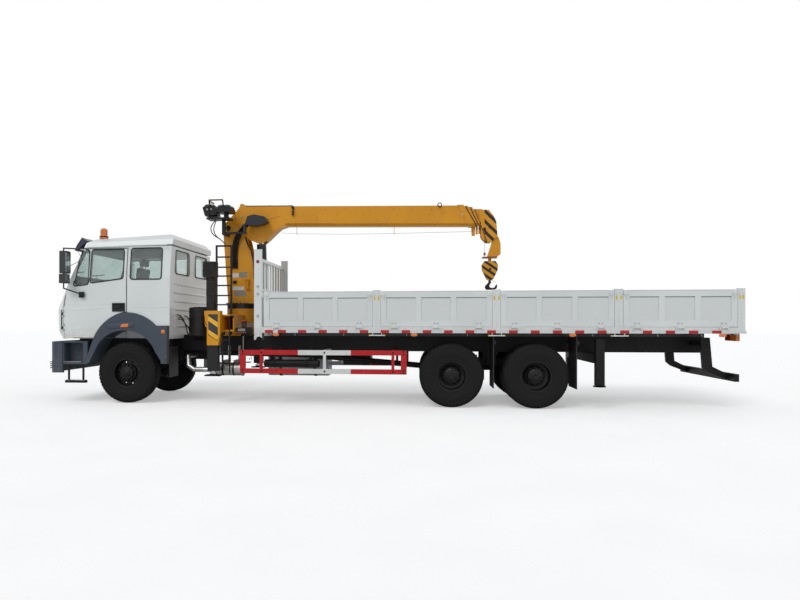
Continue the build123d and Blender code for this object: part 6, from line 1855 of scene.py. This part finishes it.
# the stand's cushion: foam in a black vinyl cover with one sewn channel across it
seat_vinyl, tree = start_finish("seat_vinyl", "#121315", 0.45, mottle=("#0F1012", "#1B1C1F", 50))
relief(tree, patches(tree, 3), 0.15, 0.5)
cushion = sewn_pad(
    "operator_cushion", (-3.085, -0.662, 3.688), (-2.825, -0.318, 3.738), 0.03, ((0, -2.955),), 3.0
)
fix_on(cushion, "crane", seat_vinyl, "seat_fabric")


# Lift cylinder and boom: a black barrel with a chromed rod, and four bent-plate sections that
# slide in one another on pads. The fittings are bolted or pinned to the section that they ride.
cylinder_enamel, tree = start_finish(
    "cylinder_enamel", "#101113", 0.32, mottle=("#0F1012", "#191B1E", 120), specular_ior_level=0.35
)
paint_node("lift_barrel", cylinder_enamel)
rod_chrome, tree = start_finish("hard_chrome", "#C9CCCE", 0.08, 1.0)
chrome = blend_colours(tree, patches(tree, 60), "#C2C5C7", "#D0D3D5")
eye_share = beyond(tree, 2, 3.085)
colour_by(tree, blend_colours(tree, eye_share, chrome, "#101113"))
paint_node("lift_rod", rod_chrome)

paint_node("boom_section_1", crane_enamel)


def head_bands(tree):
    """Black diagonals on the two side plates of the boom's head."""
    plates = both_of(tree, beyond(tree, 0, 1.985), beyond(tree, 1, 0.0965, True))
    return both_of(tree, diagonals(tree, 1.0, 5.617, 0.198, 0.42), plates)


def block_bands(tree):
    """Black diagonals on the two cheeks of the hook block."""
    return both_of(tree, diagonals(tree, 0.69, 4.043, 0.13, 0.46), beyond(tree, 1, 0.055, True))


paint_node("hook_block", crane_coat("block_enamel", block_bands))

boom_lean = math.radians(0.85)


def at_boom(along, up):
    """Where a point lies, along the boom from its pivot and up from its axis, as x and z."""
    return (
        -2.997 + along * math.cos(boom_lean) + up * math.sin(boom_lean),
        3.362 - along * math.sin(boom_lean) + up * math.cos(boom_lean)
    )


def wiper_and_shadow_band(low_along, high_along):
    """A share that is 1 on a black band at the outer section's slanted mouth: partly a wiper at the collar's
    front edge, partly painted shadow of the step there.
    """
    low_x, low_z = at_boom(low_along, 0.05)
    high_x, high_z = at_boom(high_along, 0.435)
    across = Vector((high_z - low_z, 0, low_x - high_x)).normalized()
    middle = across.dot(Vector((low_x, 0, low_z))) + 0.005

    def share(tree):
        reach = add_node(
            tree, "ShaderNodeVectorMath", {"operation": "DOT_PRODUCT", 1: tuple(across)}, {0: place_in(tree)}
        ).outputs["Value"]
        away = maths(tree, "ABSOLUTE", maths(tree, "SUBTRACT", reach, middle))
        return maths(tree, "LESS_THAN", away, 0.008)

    return share


def head_marks(tree):
    """The last section's wiper band, partly painted shadow, and the diagonals of its head."""
    wiper = wiper_and_shadow_band(4.913, 4.768)(tree)
    return maths(tree, "MAXIMUM", wiper, head_bands(tree))


# painted shadow: each inner section carries a black band where the section round it ends, partly a wiper and
# partly the step's shadow
paint_node("boom_section_2", crane_coat("section_2_enamel", wiper_and_shadow_band(4.826, 4.607)))
paint_node("boom_section_3", crane_coat("section_3_enamel", wiper_and_shadow_band(4.872, 4.69)))
paint_node("boom_section_4", crane_coat("head_enamel", head_marks))

# pipe along the heel's top with its clips, and the small guide pulley over the pivot
pipe_line = [(*at_boom(along, 0.45), -0.095) for along in (0.26, 0.7, 1.28)]
bead("boom_pipe", [(x, y, z) for x, z, y in pipe_line], 0.009, "boom_1", *LADDER_BLACK, False)
clips = []
for along in (0.33, 0.8, 1.23):
    clip_x, clip_z = at_boom(along, 0.434)
    clips.append(
        soft_block(
            "pipe_clip", (clip_x - 0.014, -0.112, clip_z - 0.002), (clip_x + 0.014, -0.078, clip_z + 0.028),
            0.006, 3
        )
    )
pulley = start_drum("guide_pulley", (-2.745, -0.086, 3.806), (0, -1, 0), 0.042, 0.028, 28)
pick(pulley, "EDGE", lambda a, b: abs(a.y - b.y) > 0.02)
bpy.ops.mesh.subdivide(number_cuts=1)
pick(pulley, "VERT", lambda co: abs(co.y + 0.1) < 0.002)
bpy.ops.transform.resize(value=(0.78, 1, 0.78))
round_off(pulley, 0.002, 1)
clips.append(pulley)
for ear_y in (-0.0795, -0.1205):
    clips.append(
        soft_block("pulley_ear", (-2.775, ear_y - 0.003, 3.765), (-2.715, ear_y + 0.003, 3.822), 0.002, 1)
    )
assemble("heel_fittings", clips, "boom_1", *LADDER_BLACK)

# hose roller on the near side, the lifting eye with its shackle, and grease points with nuts
roller_parts = []
arm = start_block("roller_arm", (-1.722, -0.166, 3.6), (-1.69, -0.14, 3.776))
pick(arm, "VERT", lambda co: co.z < 3.62)
bpy.ops.transform.resize(value=(0.6, 1, 1))
round_off(arm, 0.006, 3)
roller_parts.append(arm)
for roll_z, roll_radius in ((3.748, 0.026), (3.66, 0.02), (3.612, 0.022)):
    roller_parts.append(
        soft_drum("roll", (-1.706, -0.16, roll_z), (0, -1, 0), roll_radius, 0.034, 20, 0.005, 3)
    )
assemble("hose_roller", roller_parts, "boom_1", *LADDER_BLACK)
for side_name, side in SIDES:
    lug = soft_drum(
        f"lifting_lug_{side_name}", (1.139, side * 0.139, 3.69), (0, side, 0), 0.034, 0.014, 28, 0.003
    )
    fix_on(lug, "boom_1", *CRANE_YELLOW)
    shackle = wire_ring(0.036, 0.0085, 32, 10, (1.139, side * 0.16, 3.746), 90, "X")
    shackle.name = f"lifting_shackle_{side_name}"
    pick(shackle, "VERT", lambda co: co.z < 3.722)
    bpy.ops.transform.resize(value=(0.55, 1, 1))
    bpy.ops.transform.translate(value=(0, 0, -0.012))
    smooth_off(shackle)
    fix_on(shackle, "boom_1", *LADDER_BLACK)
heads_both_sides(
    "boom_bosses", [(-2.74, -0.1485, 3.6), (-2.862, -0.1485, 3.56), (1.56, -0.1405, 3.56)], (0, -1, 0), 0.03,
    0.012, "boom_1", zinc_steel, "crane_yellow"
)

# the taut signal wire under the boom in its two hangers
bead(
    "signal_wire",
    [
        (-1.952, -0.088, 3.262), (-1.64, -0.088, 3.244), (-0.7, -0.088, 3.219), (0.269, -0.088, 3.221),
        (1.762, -0.088, 3.236)
    ],
    0.0035, "boom_1", *ZINC_STEEL, False
)
hangers = []
for hanger_x, ring_z in ((-1.64, 3.244), (0.269, 3.221)):
    boom_z = at_boom(hanger_x + 2.997, 0.05)[1]
    rod = start_drum(
        "hanger_rod", (hanger_x, -0.088, ring_z + 0.014), (0, 0, 1), 0.0055, boom_z - ring_z - 0.012, 10
    )
    foot = soft_block(
        "hanger_foot", (hanger_x - 0.02, -0.105, boom_z - 0.01), (hanger_x + 0.02, -0.071, boom_z + 0.003),
        0.003
    )
    loop = wire_ring(0.014, 0.0045, 18, 8, (hanger_x, -0.088, ring_z), 90, "Y")
    smooth_off(loop)
    hangers += [rod, foot, loop]
assemble("wire_hangers", hangers, "boom_1", *CRANE_YELLOW)


# Stow arm, hook block and hook: the arm is folded plate pinned to the head, the block two striped
# cheeks round a sheave, and the hook a black forging with a sprung latch.
def brown_plate(tree):
    """The arm's bare brown foot plate."""
    return both_of(tree, beyond(tree, 2, 2.729), height_share(tree, 2.7545, 2.755))


arm_enamel, tree = start_finish("arm_enamel", "#DC9212", 0.4, coat_weight=0.12, specular_ior_level=0.35)
aged = blend_colours(tree, patches(tree, 300), "#E29B18", "#D69114")
colour_by(tree, blend_colours(tree, brown_plate(tree), aged, "#8E4E1C"))
paint_node("stow_arm", arm_enamel)

forged_black, tree = start_finish("forged_black", "#1A1A1B", 0.45, 0.4, mottle=("#0E0E0F", "#1C1B1A", 18))
relief(tree, patches(tree, 7), 0.3, 0.5)
paint_node("hook", forged_black)

latch = start_block("hook_latch", (2.118, -0.009, 2.262), (2.196, 0.009, 2.27))
pick(latch, "VERT", lambda co: co.x < 2.15)
bpy.ops.transform.translate(value=(0, 0, 0.05))
round_off(latch, 0.0025)
fix_on(latch, "hook", yellow_tag, "hook_black")

# the overwind switch's red weight on its cable beside the hoist rope
switch_red, tree = start_finish("switch_red", "#B3202A", 0.35, mottle=("#A31A24", "#C32B34", 15))
bead("switch_cable", [(1.984, -0.128, 3.262), (1.984, -0.128, 2.82)], 0.0028, "boom_4", *LADDER_BLACK, False)
weight = soft_drum("switch_weight", (1.984, -0.128, 2.77), (0, 0, 1), 0.021, 0.056, 20, 0.006, 3)
fix_on(weight, "boom_4", switch_red, "hook_black")
case = soft_block("switch_case", (1.962, -0.142, 3.25), (2.008, -0.099, 3.3), 0.006, 3)
fix_on(case, "boom_4", *LADDER_BLACK)

# pin heads of the sheave, the arm and the block, each with its keeper
for pin_name, rider, pin_x, pin_y, pin_z, pin_radius in (
    ("sheave_pin", "boom_4", 2.095, 0.1, 3.314, 0.03), ("block_pin", "hook_block", 2.095, 0.061, 2.52, 0.022)
):
    head = start_drum(f"{pin_name}_left", (pin_x, -pin_y, pin_z), (0, -1, 0), pin_radius, 0.01, 24)
    press(head, (0, -1, 0), (pin_radius * 0.35, -0.003))
    round_off(head, 0.0015, 1)
    fix_both(head, f"{pin_name}_right", rider, *LADDER_BLACK)
